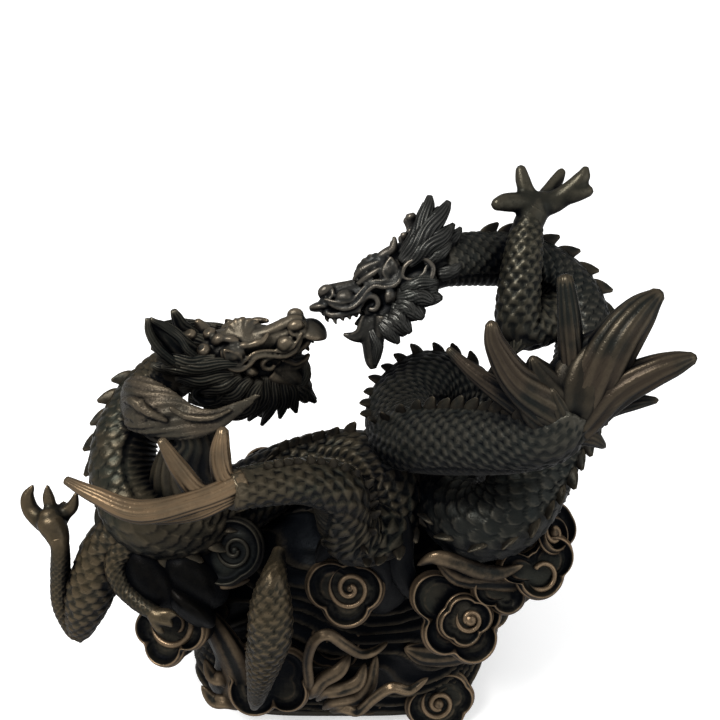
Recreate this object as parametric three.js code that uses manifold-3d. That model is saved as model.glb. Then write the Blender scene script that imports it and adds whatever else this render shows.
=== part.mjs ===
// Twin dragons over a cloud bank: a cast bronze ornament that stands on its flat, oval underside.
//
// Everything is one casting, so everything below is joined into one solid. Lengths are millimetres.
// Places are given in the sculptor's frame: +X to the viewer's right, +Y to the back, +Z up, with z = 0
// on the table. The finished casting is then moved so that the origin is under the middle of its extents.
import * as THREE from "three";
import { mergeVertices } from "three/addons/utils/BufferGeometryUtils.js";
import Module from "manifold-3d";

const wasm = await Module();
wasm.setup();

// ---------------------------------------------------------------- driving dimensions
const FIN_PITCH = 17; // between the fins of a crest
const FIN_HEIGHT = 5;
const BODY_SIDES = 8;
const BODY_STEP = 12.6; // along a body, between its rings
const CORE_SIDES = 20;
const BASE_CORNERS = 3.4; // how square the underside's oval is: 2 is an ellipse
const BRONZE = new THREE.MeshStandardMaterial({ color: 0x3b3128, roughness: 0.42, metalness: 0.85 });

// A body's line from the skull to the tail: [x, y, z, radius, and which way the crest faces].
const LEFT_BODY = [
  [-88, 2, 209, 12, 0, 0, 1],
  [-101, 2, 200, 13, -0.5, 0.3, 1],
  [-112, -8, 190, 14, -1, 0.3, 0.6],
  [-118, -22, 178, 15.5, -1, 0.2, 0],
  [-116, -36, 164, 16.5, -1, 0, -0.3],
  [-105, -47, 151, 17, -0.6, -0.6, -0.6],
  [-85, -41, 142, 17, -0.2, -1, 0],
  [-64, -20, 137, 17, 0, -0.7, 0.7],
  [-43, -3, 138, 16.5, 0, 0, 1],
  [-17, 0, 146, 16, 0, 0, 1],
  [4, -9, 153, 15, 0.5, 0.2, 0.8],
  [18, -29, 152, 14.5, 1, 0, 0.3],
  [12, -48, 146, 14, 0.7, -0.7, 0],
  [-2, -58, 151, 13.5, 0.2, -1, 0],
  [-8, -63, 172, 12.5, 0.8, 0, 0.6],
  [-10, -68, 191, 11.5, 0.8, 0.2, 0.8],
  [-23, -77, 205, 9.5, 0, 0.4, 1],
  [-38, -87, 213, 8.5, 0, 0.4, 1],
  [-52, -96, 218, 7.5, 0, 0.4, 1],
];
const RIGHT_BODY = [
  [39, 28, 254, 12, 0, 0.3, 1],
  [59, 35, 252, 13, 0, 0.4, 1],
  [81, 40, 248, 13.5, 0.2, 0.4, 1],
  [100, 36, 241, 13.5, 0.6, 0.4, 0.7],
  [111, 23, 231, 13.5, 1, 0.2, 0.3],
  [112, 5, 218, 13.5, 1, 0, 0],
  [106, -12, 203, 14.5, 1, -0.2, 0.1],
  [95, -27, 189, 16, 0.8, -0.6, 0.2],
  [85, -41, 175, 17, 0.5, -0.8, 0.2],
  [72, -52, 161, 17.5, 0.1, -1, 0.1],
  [56, -51, 153, 17.5, -0.5, -0.8, 0.1],
  [46, -36, 152, 17, -1, -0.3, 0.3],
  [50, -13, 157, 17, -0.6, 0, 0.7],
  [65, 7, 166, 16.5, 0.7, 0.2, 0.6],
  [56, 19, 179, 16.5, 0.3, 0.4, 0.9],
  [36, 14, 189, 16.5, -0.2, 0.4, 0.9],
  [21, -8, 192, 16, -0.8, 0.2, 0.6],
  [20, -34, 196, 15.5, -0.9, 0, 0.5],
  [31, -53, 208, 15, -0.4, 0.3, 0.9],
  [46, -69, 221, 14, -0.2, 0.3, 1],
  [61, -82, 233, 13, -0.4, 0.2, 0.9],
  [73, -91, 245, 11.5, -0.8, 0, 0.4],
  [79, -90, 257, 9, -1, 0, 0],
];

// Where each head joins its neck, and which way its nose and its brow face.
const LEFT_HEAD = { at: [-85.2, 1.2, 211], forward: [0.94, 0.063, 0.33], up: [-0.32, -0.126, 0.94] };
const RIGHT_HEAD = { at: [40, 28, 253], forward: [-0.95, -0.19, -0.25], up: [-0.25, 0.52, 0.82] };

// Head parts in the head's own frame: x to the nose, y to its left, z to its brow, then the radius.
const SKULL = [
  [-12, 0, -2, 11], [0, 0, 0, 14], [12, 0, 1, 15.5], [22, 0, 1, 14.5], [32, 0, 1, 12],
  [40, 0, 0, 9.5], [48, 0, -1, 7.5], [56, 0, -1, 7.5], [64, 0, -1, 5.5], [70, 0, -2, 1.5],
];
const JAW = [[14, 0, -12, 8], [26, 0, -15, 8], [38, 0, -17, 6.5], [50, 0, -18, 5], [59, 0, -15, 2]];
const FACE_PAIRS = [
  [[40, 4, 8, 3], [32, 8, 12, 4.5], [22, 10, 14, 4.5], [8, 11, 24, 1]], // brow
  [[46, 4, 3, 3], [54, 5, 6, 4], [60, 5, 6, 4], [64, 4, 3, 2]], // nostril
  [[8, 7, 13, 4], [0, 9, 20, 4], [-6, 11, 27, 3.5], [-10, 12, 33, 1.2]], // horn
  [[1, 11, 6, 7], [-8, 16, 9, 6], [-14, 19, 14, 4], [-18, 18, 23, 1]], // mane
  [[10, 12, -8, 6], [0, 15, -10, 5], [-8, 15, -12, 3.5], [-16, 13, -16, 1]],
  [[26, 8, -14, 8], [20, 10, -22, 6.5], [16, 10, -29, 4], [12, 8, -37, 1]], // beard
];
const FACE_MIDDLE = [
  [[12, 0, 14, 5], [4, 0, 22, 5], [-2, 0, 28, 4], [-8, 0, 34, 1]], // crown
  [[44, 0, -19, 5], [43, 0, -28, 5], [42, 0, -35, 3.5], [47, 0, -42, 1]], // beard
  [[54, 0, -17, 4], [55, 0, -25, 3.5], [54, 0, -31, 2.5], [57, 0, -37, 1]],
];

// Limbs: a line of [x, y, z, radius] from the body to the palm, then the claws' tips and their radius.
const LIMBS = [
  {
    line: [
      [-110, -46, 149, 10], [-127, -50, 136, 10.5], [-137, -59, 112, 11], [-145, -66, 91, 7],
      [-153, -62, 107, 5], [-150, -54, 134, 5], [-154, -46, 146, 6],
    ],
    tips: [[-168, -35, 160], [-157, -35, 162], [-144, -36, 158], [-151, -36, 151]],
    claw: 2.4,
  },
  {
    line: [
      [106, 24, 230, 12], [94, 14, 229, 11.5], [79, 4, 231, 10.5], [77, 8, 244, 10],
      [79, 19, 264, 8.5], [82, 29, 278, 7], [84, 33, 283, 8],
    ],
    tips: [[64, 26, 286], [77, 40, 299], [100, 49, 294], [108, 36, 298]],
    claw: 3.2,
  },
  {
    line: [
      [-108, -50, 148, 9], [-120, -60, 136, 6.5], [-118, -67, 126, 5], [-108, -75, 120, 4.5],
      [-98, -79, 118, 4.5],
    ],
    tips: [[-90, -84, 113], [-88, -81, 120], [-96, -86, 109]],
    claw: 2,
  },
  {
    line: [
      [-30, -50, 90, 9], [-42, -78, 66, 8], [-54, -91, 57, 4], [-50, -92, 78, 8],
      [-46, -91, 103, 10], [-43, -89, 122, 11], [-42, -82, 142, 8], [-43, -72, 155, 3],
    ],
    tips: [],
    claw: 0,
  },
  {
    line: [
      [-36, -2, 134, 11], [-44, 22, 124, 10], [-48, 44, 110, 8], [-42, 58, 98, 6.5], [-38, 62, 88, 6.5],
    ],
    tips: [[-24, 70, 80], [-34, 78, 79], [-46, 77, 79], [-56, 69, 81]],
    claw: 2.4,
  },
  {
    line: [
      [62, 12, 170, 12], [76, 32, 166, 11], [84, 50, 152, 8], [80, 56, 134, 6.5], [76, 58, 122, 6.5],
    ],
    tips: [[91, 62, 115], [82, 72, 114], [69, 73, 114], [61, 62, 118]],
    claw: 2.4,
  },
];

// Tail brushes and flame locks: lines of [x, y, z, radius], each from its root to its tip.
const LOCKS = [
  // the right tail's brush
  [[79, -91, 252, 9], [78, -85, 272, 8.5], [76, -78, 287, 5.5], [74, -71, 301, 1.5]],
  [[80, -90, 254, 9], [87, -88, 273, 9], [92, -84, 286, 6.5], [105, -79, 299, 1.5]],
  [[80, -91, 254, 9], [92, -90, 266, 8.5], [104, -91, 276, 5.5], [118, -92, 280, 1.5]],
  [[80, -91, 252, 8], [92, -89, 257, 7], [102, -89, 258, 4.5], [111, -89, 258, 1.5]],
  [[77, -93, 250, 7], [82, -93, 248, 6], [87, -94, 245, 4.5], [92, -95, 241, 1.5]],
  [[78, -91, 256, 9], [66, -89, 265, 8.5], [53, -86, 274, 6], [47, -82, 288, 1.5]],
  [[72, -89, 250, 8], [58, -81, 254, 7], [44, -73, 260, 5], [35, -68, 266, 1.5]],
  // the left tail's brush
  [
    [-50, -96, 218, 7], [-64, -106, 216, 7], [-84, -112, 220, 6.5], [-100, -109, 228, 4],
    [-111, -104, 230, 1.5],
  ],
  [[-52, -98, 218, 7], [-62, -98, 222, 6.5], [-70, -94, 230, 5], [-76, -91, 240, 1.5]],
  [[-50, -95, 219, 7], [-54, -92, 225, 6], [-55, -87, 232, 5], [-54, -83, 239, 1.5]],
  // the flame at the left dragon's neck
  [
    [-112, -22, 200, 11], [-96, -37, 208, 11], [-76, -43, 211, 7.5], [-60, -46, 217, 4.5],
    [-45, -46, 227, 1.5],
  ],
  [[-112, -22, 192, 10], [-97, -37, 200, 8], [-84, -42, 203, 5.5], [-72, -45, 207, 1.5]],
];

// Cloud scrolls: [x, y, z, radius, azimuth and elevation in degrees of the way it faces, thickness].
// Azimuth 0 faces the viewer and 90 faces +X.
const FRONT_SCROLLS = [
  [-64, -55, 136, 17, -8, 40, 26],
  [-5, -66, 120, 22, -4, 38, 30],
  [54, -72, 106, 24, 8, 36, 30],
  [98, -46, 143, 16, 45, 40, 26],
  [-98, -72, 97, 20, -20, 38, 68],
  [45, -64, 22, 20, 6, 28, 24],
];
const OTHER_SCROLLS = [
  [90, -64, 127, 16, 14, 36, 30],
  [-50, -76, 59, 18, -2, 32, 24],
  [-16, -62, 68, 18, 0, 22, 20],
  [-10, -62, 24, 20, 0, 20, 22],
  [-62, -56, 22, 19, -14, 18, 22],
  [76, -38, 70, 17, 50, 18, 24],
  [106, -2, 110, 22, 88, 24, 28],
  [-108, -20, 112, 20, -90, 24, 26],
  [-92, -10, 60, 21, -90, 12, 22],
  [78, 6, 58, 21, 92, 12, 24],
  [88, 48, 104, 21, 138, 24, 30],
  [48, 68, 92, 24, 168, 24, 30],
  [-6, 70, 68, 24, 180, 24, 30],
  [-58, 66, 68, 23, -168, 24, 30],
  [-98, 40, 88, 20, -132, 24, 30],
  [-68, 50, 46, 21, -152, 14, 24],
  [-14, 62, 50, 23, 180, 14, 24],
  [44, 54, 46, 21, 154, 14, 24],
  [-56, 32, 106, 19, 0, 62, 26],
];

// The bank's core: [z, half width, half depth, centre x, centre y, squareness] of each level, upwards.
const CORE = [
  [0, 85, 63, -12, 0, BASE_CORNERS],
  [14, 87, 64, -12, 0, BASE_CORNERS],
  [32, 82, 60, -12, 0, BASE_CORNERS],
  [58, 77, 53, -10, -1, 2.6],
  [84, 85, 54, -6, -1, 2.2],
  [104, 88, 55, -2, -2, 2],
  [118, 76, 48, 0, -2, 2],
  [130, 50, 30, 2, -2, 2],
];

// ---------------------------------------------------------------- making solids
// A closed geometry as a solid. Its faces are turned to point out if they point in.
function solidOf(geometry) {
  const bare = geometry.clone();
  bare.deleteAttribute("normal");
  bare.deleteAttribute("uv");
  const merged = mergeVertices(bare, 1e-4);
  const corners = merged.index.array;
  const triangles = [];
  for (let i = 0; i < corners.length; i += 3) {
    const [a, b, c] = corners.slice(i, i + 3);
    if (a !== b && b !== c && a !== c) triangles.push(a, b, c);
  }
  const points = merged.attributes.position;
  const [a, b, c] = [new THREE.Vector3(), new THREE.Vector3(), new THREE.Vector3()];
  let volume = 0;
  for (let i = 0; i < triangles.length; i += 3) {
    a.fromBufferAttribute(points, triangles[i]);
    b.fromBufferAttribute(points, triangles[i + 1]);
    c.fromBufferAttribute(points, triangles[i + 2]);
    volume += a.dot(b.cross(c));
  }
  const outward = volume < 0 ? triangles.reverse() : triangles;
  return new wasm.Manifold(
    new wasm.Mesh({ numProp: 3, vertProperties: points.array, triVerts: new Uint32Array(outward) }),
  );
}

const vector = (p) => new THREE.Vector3(p[0], p[1], p[2]);
const lerp = THREE.MathUtils.lerp;

// The value of a list of numbers at u, from 0 at its first to 1 at its last.
function between(values, u) {
  const at = Math.min(Math.max(u, 0), 1) * (values.length - 1);
  const i = Math.min(Math.floor(at), values.length - 2);
  return lerp(values[i], values[i + 1], at - i);
}

// A line of [x, y, z, radius, crest x, y, z] as a smooth curve, with its radius, its frame and its length.
function guideOf(line) {
  const curve = new THREE.CatmullRomCurve3(line.map(vector), false, "catmullrom", 0.5);
  const radii = line.map((p) => p[3]);
  const crests = [4, 5, 6].map((k) => line.map((p) => (p.length > 4 ? p[k] : k === 6 ? 1 : 0.15)));
  const frameAt = (u) => {
    const along = curve.getTangent(u);
    const crest = new THREE.Vector3(...crests.map((values) => between(values, u)));
    crest.addScaledVector(along, -crest.dot(along)).normalize();
    const side = new THREE.Vector3().crossVectors(along, crest);
    return { at: curve.getPoint(u), along, crest, side, radius: between(radii, u) };
  };
  return { frameAt, length: curve.getLength() };
}

// A closed unit tube, bent along a line. Its section is wide times the radius across the crest.
function sweep(line, sides, steps, wide = 1) {
  const { frameAt } = guideOf(line);
  const outline = [new THREE.Vector2(0, 0)];
  for (let i = 0; i <= steps; i++) outline.push(new THREE.Vector2(1, i / steps));
  outline.push(new THREE.Vector2(0, 1));
  const tube = new THREE.LatheGeometry(outline, sides);
  const points = tube.attributes.position;
  for (let i = 0; i < points.count; i++) {
    const { at, crest, side, radius } = frameAt(points.getY(i));
    at.addScaledVector(side, points.getX(i) * radius * wide);
    at.addScaledVector(crest, points.getZ(i) * radius);
    points.setXYZ(i, at.x, at.y, at.z);
  }
  return solidOf(tube);
}

// ---------------------------------------------------------------- body and crest
// A row of fins on the crest's side of a body. Each is a thin wedge that leans towards the tail.
function crestOf(line, first, last) {
  const { frameAt, length } = guideOf(line);
  const count = Math.round(((last - first) * length) / FIN_PITCH);
  return Array.from({ length: count }, (_, i) => {
    const { at, along, crest, side, radius } = frameAt(lerp(first, last, (i + 0.5) / count));
    const height = FIN_HEIGHT * Math.min(1, radius / 11);
    const fin = new THREE.ConeGeometry(FIN_PITCH * 0.5, height + 4, 3, 1);
    const points = fin.attributes.position;
    for (let k = 0; k < points.count; k++) {
      const up = points.getY(k) + (height + 4) / 2;
      const p = at.clone().addScaledVector(crest, radius - 4 + up);
      p.addScaledVector(along, points.getX(k) + 0.45 * up).addScaledVector(side, points.getZ(k) * 0.3);
      points.setXYZ(k, p.x, p.y, p.z);
    }
    return solidOf(fin);
  });
}

function dragonBody(line) {
  const steps = Math.round(guideOf(line).length / BODY_STEP);
  return [sweep(line, BODY_SIDES, steps), ...crestOf(line, 0.05, 0.97)];
}

// ---------------------------------------------------------------- head
function dragonHead({ at, forward, up }) {
  const x = vector(forward).normalize();
  const z = vector(up).addScaledVector(x, -vector(up).dot(x)).normalize();
  const y = new THREE.Vector3().crossVectors(z, x);
  const placed = (line, mirror = 1) => line.map(([px, py, pz, radius]) => {
    const p = vector(at).addScaledVector(x, px).addScaledVector(y, py * mirror).addScaledVector(z, pz);
    return [p.x, p.y, p.z, radius, z.x, z.y, z.z];
  });
  return [
    sweep(placed(SKULL), 8, 8, 1.05),
    sweep(placed(JAW), 6, 4, 1.2),
    ...[1, -1].flatMap((mirror) => FACE_PAIRS.map((line) => sweep(placed(line, mirror), 4, 2))),
    ...FACE_MIDDLE.map((line) => sweep(placed(line), 4, 2)),
  ];
}

// ---------------------------------------------------------------- limbs
// A limb with its four claws. Each claw leaves the palm and curls over a knuckle to its tip.
function limb({ line, tips, claw }) {
  const palm = vector(line.at(-1));
  const wrist = vector(line.at(-2));
  const reach = palm.clone().sub(wrist).normalize();
  const claws = tips.map((tip) => {
    const knuckle = palm.clone().lerp(vector(tip), 0.55).addScaledVector(reach, -claw);
    return sweep([
      [...palm, claw * 1.5], [...knuckle, claw * 1.4], [...tip, claw * 0.45],
    ], 4, 2);
  });
  return [sweep(line, 6, Math.round((line.length - 1) * 1.5)), ...claws];
}

// ---------------------------------------------------------------- clouds
// A scroll is a round boss that swells from a narrow root to a rolled rim. Its outline is given as shares
// of its radius and of its thickness.
const SCROLL_BACK = [[0, -1], [0.55, -1], [1, -0.25]];
const PLAIN_SCROLL = [...SCROLL_BACK, [0.92, 0.02], [0, 0.14]];
const ROLLED_SCROLL = [...SCROLL_BACK, [0.96, 0.02], [0.76, 0.03], [0.62, -0.06], [0.36, 0.08], [0, 0.14]];

function scroll([x, y, z, radius, azimuth, elevation, thick], outline, sides) {
  const boss = new THREE.LatheGeometry(
    outline.map(([r, h]) => new THREE.Vector2(r * radius, h * thick)), sides,
  );
  const facing = new THREE.Vector3(0, -1, 0)
    .applyAxisAngle(new THREE.Vector3(-1, 0, 0), THREE.MathUtils.degToRad(elevation))
    .applyAxisAngle(new THREE.Vector3(0, 0, 1), THREE.MathUtils.degToRad(azimuth));
  boss.applyQuaternion(new THREE.Quaternion().setFromUnitVectors(new THREE.Vector3(0, 1, 0), facing));
  boss.translate(x, y, z);
  return solidOf(boss);
}

// The core, level by level, with a flat underside. Each level is a rounded oblong.
function cloudCore() {
  const outline = [new THREE.Vector2(0, 0), ...CORE.map((_, i) => new THREE.Vector2(1, i))];
  outline.push(new THREE.Vector2(0, CORE.length - 1));
  const core = new THREE.LatheGeometry(outline, CORE_SIDES);
  const points = core.attributes.position;
  for (let i = 0; i < points.count; i++) {
    const [z, halfX, halfY, x, y, squareness] = CORE[Math.round(points.getY(i))];
    const [across, back] = [points.getX(i), points.getZ(i)];
    const reach = (Math.abs(across) ** squareness + Math.abs(back) ** squareness) ** (1 / squareness);
    const scale = reach > 0 ? Math.hypot(across, back) / reach : 0;
    points.setXYZ(i, x + across * scale * halfX, y + back * scale * halfY, z);
  }
  return solidOf(core);
}

// ---------------------------------------------------------------- the casting
const casting = wasm.Manifold.union([
  cloudCore(),
  ...FRONT_SCROLLS.map((place) => scroll(place, ROLLED_SCROLL, 9)),
  ...OTHER_SCROLLS.map((place) => scroll(place, PLAIN_SCROLL, 8)),
  ...dragonBody(LEFT_BODY),
  ...dragonBody(RIGHT_BODY),
  ...dragonHead(LEFT_HEAD),
  ...dragonHead(RIGHT_HEAD),
  ...LIMBS.flatMap(limb),
  ...LOCKS.map((line) => sweep(line, 5, 3)),
]);
const extents = casting.boundingBox();
const middle = [0, 1].map((axis) => (extents.min[axis] + extents.max[axis]) / 2);
const shell = casting.translate([-middle[0], -middle[1], -extents.min[2]]).getMesh();
const geometry = new THREE.BufferGeometry();
geometry.setAttribute("position", new THREE.BufferAttribute(shell.vertProperties, 3));
geometry.setIndex(new THREE.BufferAttribute(shell.triVerts, 1));

const sculpture = new THREE.Mesh(geometry, BRONZE);
sculpture.name = "dragon_sculpture";

const group = new THREE.Group();
group.add(sculpture);
export default group;
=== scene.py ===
import bpy
import numpy as np
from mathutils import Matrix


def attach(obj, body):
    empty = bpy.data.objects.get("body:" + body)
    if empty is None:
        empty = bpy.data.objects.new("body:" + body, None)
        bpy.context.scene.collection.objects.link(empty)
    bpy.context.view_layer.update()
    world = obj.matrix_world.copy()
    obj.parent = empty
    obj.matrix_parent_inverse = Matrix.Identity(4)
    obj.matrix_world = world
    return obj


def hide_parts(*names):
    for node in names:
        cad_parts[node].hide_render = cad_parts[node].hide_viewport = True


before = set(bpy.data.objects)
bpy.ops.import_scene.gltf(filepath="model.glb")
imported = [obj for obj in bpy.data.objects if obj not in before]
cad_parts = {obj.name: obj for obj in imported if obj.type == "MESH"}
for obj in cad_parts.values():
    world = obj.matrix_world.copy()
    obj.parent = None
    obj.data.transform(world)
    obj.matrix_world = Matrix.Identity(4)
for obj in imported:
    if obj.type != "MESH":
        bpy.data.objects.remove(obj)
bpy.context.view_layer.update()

# ---------------------------------------------------------------- the cloud bank
# The foot of the casting: a rounded-oblong block of cloud, narrow at the waist and flat underneath. It was
# modelled in wax as bands of rolled vapour, and cast in bronze in one with everything that stands on it.
# Places are in millimetres in the sculptor's frame: +x right, +y back, +z up from the table.
MIDDLE = np.array([-18.78, -17.66, 0.0])  # the middle of the casting's extents, which is the frame's origin
MILLIMETRE = 0.001
BANK_LEVELS = np.array([  # height, half width, half depth, centre x, centre y, squareness
    (0, 87, 63, -13, 0, 3.8),
    (14, 89, 64, -13, 0, 3.8),
    (32, 85, 64, -13, -2, 3.6),
    (58, 80, 58, -11, -6, 3.0),
    (84, 84, 54, -6, -3, 2.2),
    (104, 86, 52, -2, 1, 2.0),
    (118, 72, 44, 0, 1, 2.0),
    (128, 44, 26, 2, 0, 2.0),
], float)
FOOT = 5.0  # height of the plain edge that the bank stands on
FOOT_BEVEL = 1.2  # the chamfer along the lower edge
BANK_TOP = 128
BAND_PITCH = 10  # height from one crest of the bands to the next
BAND_DEPTH = 4.0
# points round the bank, rings up it and rings over its top
BANK_AROUND, BANK_RINGS, TOP_RINGS = 244, 98, 10


def smooth_step(low, high, value):
    """0 below low, 1 above high, and 3t^2 - 2t^3 between them."""
    t = np.clip((value - low) / (high - low), 0, 1)
    return t * t * (3 - 2 * t)


def unit(vectors):
    """Vectors over their own lengths."""
    return vectors / (np.linalg.norm(vectors, axis=-1, keepdims=True) + 1e-9)


def angles(around):
    """Evenly spaced angles round a ring."""
    return np.arange(around) * 2 * np.pi / around


def skin(rings, first=None, last=None):
    """Rings of points (ring, around, 3), each joined to the next by quads, with a point closing each end."""
    count, around = rings.shape[:2]
    first = rings[0].mean(0) if first is None else first
    last = rings[-1].mean(0) if last is None else last
    row, edge = np.arange(count - 1)[:, None] * around, np.arange(around)
    after = (edge + 1) % around
    here, beside = (row + edge).ravel(), (row + after).ravel()
    quads = np.stack([here, beside, beside + around, here + around], 1)
    top, pole = (count - 1) * around, np.full(around, count * around)
    starts = np.stack([pole, after, edge], 1)
    ends = np.stack([pole + 1, top + edge, top + after], 1)
    return np.vstack([rings.reshape(-1, 3), first, last]), quads, np.vstack([starts, ends])


def mesh_of(name, skins):
    """One mesh from several skins, in metres in the frame, with smooth faces."""
    offsets = np.cumsum([0] + [len(points) for points, _, _ in skins])
    points = (np.vstack([points for points, _, _ in skins]) - MIDDLE) * MILLIMETRE
    points[:, 2] = np.maximum(points[:, 2], 0)
    quads = np.vstack([quads + offset for (_, quads, _), offset in zip(skins, offsets)])
    caps = np.vstack([caps + offset for (_, _, caps), offset in zip(skins, offsets)])
    corners = np.concatenate([quads.ravel(), caps.ravel()]).astype(np.int32)
    starts = np.concatenate([np.arange(len(quads)) * 4, len(quads) * 4 + np.arange(len(caps)) * 3])
    mesh = bpy.data.meshes.new(name)
    mesh.vertices.add(len(points))
    mesh.vertices.foreach_set("co", points.ravel())
    mesh.loops.add(len(corners))
    mesh.loops.foreach_set("vertex_index", corners)
    mesh.polygons.add(len(starts))
    mesh.polygons.foreach_set("loop_start", starts.astype(np.int32))
    mesh.polygons.foreach_set("use_smooth", np.ones(len(starts), bool))
    mesh.update(calc_edges=True)
    return mesh


def cast(name, skins, metal):
    """A piece of the casting: its mesh, its metal and its place in the frame."""
    piece = bpy.data.objects.new(name, mesh_of(name, skins))
    bpy.context.scene.collection.objects.link(piece)
    piece.data.materials.append(metal)
    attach(piece, "root")
    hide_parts("dragon_sculpture")
    return piece


def cloud_bands(turn, height):
    """Flowing folds, 0 in a valley and 1 on a thin crest: (0.5 + 0.5 cos(2 pi f))^2, where f climbs with the
    height and sways with the angle."""
    sway = np.sin(3 * turn + 0.9 * np.sin(height / 13))
    fold = height / BAND_PITCH + sway + 0.45 * np.sin(7 * turn - height / 15)
    return (0.5 + 0.5 * np.cos(2 * np.pi * fold)) ** 2


def cloud_core():
    """Levels of rounded oblongs |x/a|^n + |y/b|^n = 1, pushed out and in by the cloud bands, then the top."""
    side = np.linspace(2 * FOOT_BEVEL, BANK_TOP, BANK_RINGS)
    height = np.concatenate([[0, FOOT_BEVEL], side, np.full(TOP_RINGS, float(BANK_TOP))])
    share = np.concatenate([np.ones(BANK_RINGS + 2), np.linspace(0.97, 0.04, TOP_RINGS)])[:, None]
    half_x, half_y, mid_x, mid_y, square = (
        np.interp(height, BANK_LEVELS[:, 0], BANK_LEVELS[:, k])[:, None] for k in range(1, 6))
    half_x[0], half_y[0] = half_x[0] - FOOT_BEVEL, half_y[0] - FOOT_BEVEL
    turn = angles(BANK_AROUND)[None, :]
    reach = (np.abs(np.sin(turn)) ** square + np.abs(np.cos(turn)) ** square) ** (-1 / square)
    height = height[:, None]
    bands = cloud_bands(turn, height + 40 * (1 - share)) - 0.4
    relief = BAND_DEPTH * bands * smooth_step(FOOT, FOOT + 4, height)
    x = mid_x + np.sin(turn) * (reach * half_x + relief) * share
    y = mid_y - np.cos(turn) * (reach * half_y + relief) * share
    z = height + (3.0 + 0.8 * relief) * (1 - share)
    return skin(np.stack([x, y, z], -1), first=np.array([-12.0, 0, 0]))


def group_socket(tree, name, kind, way="INPUT", value=None):
    """A named socket on a node group."""
    socket = tree.interface.new_socket(name=name, in_out=way, socket_type=kind)
    if value is not None:
        socket.default_value = value


def node(tree, kind, **settings):
    """A new node with its settings, where a setting named in_N is the value of input N."""
    made = tree.nodes.new(kind)
    for key, value in settings.items():
        if key.startswith("in_"):
            made.inputs[int(key[3:])].default_value = value
        else:
            setattr(made, key, value)
    return made


def sums(tree, operation, first, second):
    """A Math node on two values, each a number or a socket."""
    made = node(tree, "ShaderNodeMath", operation=operation)
    for k, value in enumerate((first, second)):
        if isinstance(value, (int, float)):
            made.inputs[k].default_value = value
        else:
            tree.links.new(value, made.inputs[k])
    return made.outputs[0]


def ramp(tree, value, low, high):
    """0 below low and 1 above high, eased."""
    made = node(tree, "ShaderNodeMapRange", interpolation_type="SMOOTHSTEP", in_1=low, in_2=high)
    tree.links.new(value, made.inputs[0])
    return made.outputs[0]


def blend(tree, share, first, second):
    """A mix of two colours by a share."""
    made = node(tree, "ShaderNodeMix", data_type="RGBA")
    for value, socket in ((share, made.inputs[0]), (first, made.inputs[6]), (second, made.inputs[7])):
        tree.links.new(value, socket)
    return made.outputs[2]


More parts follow.
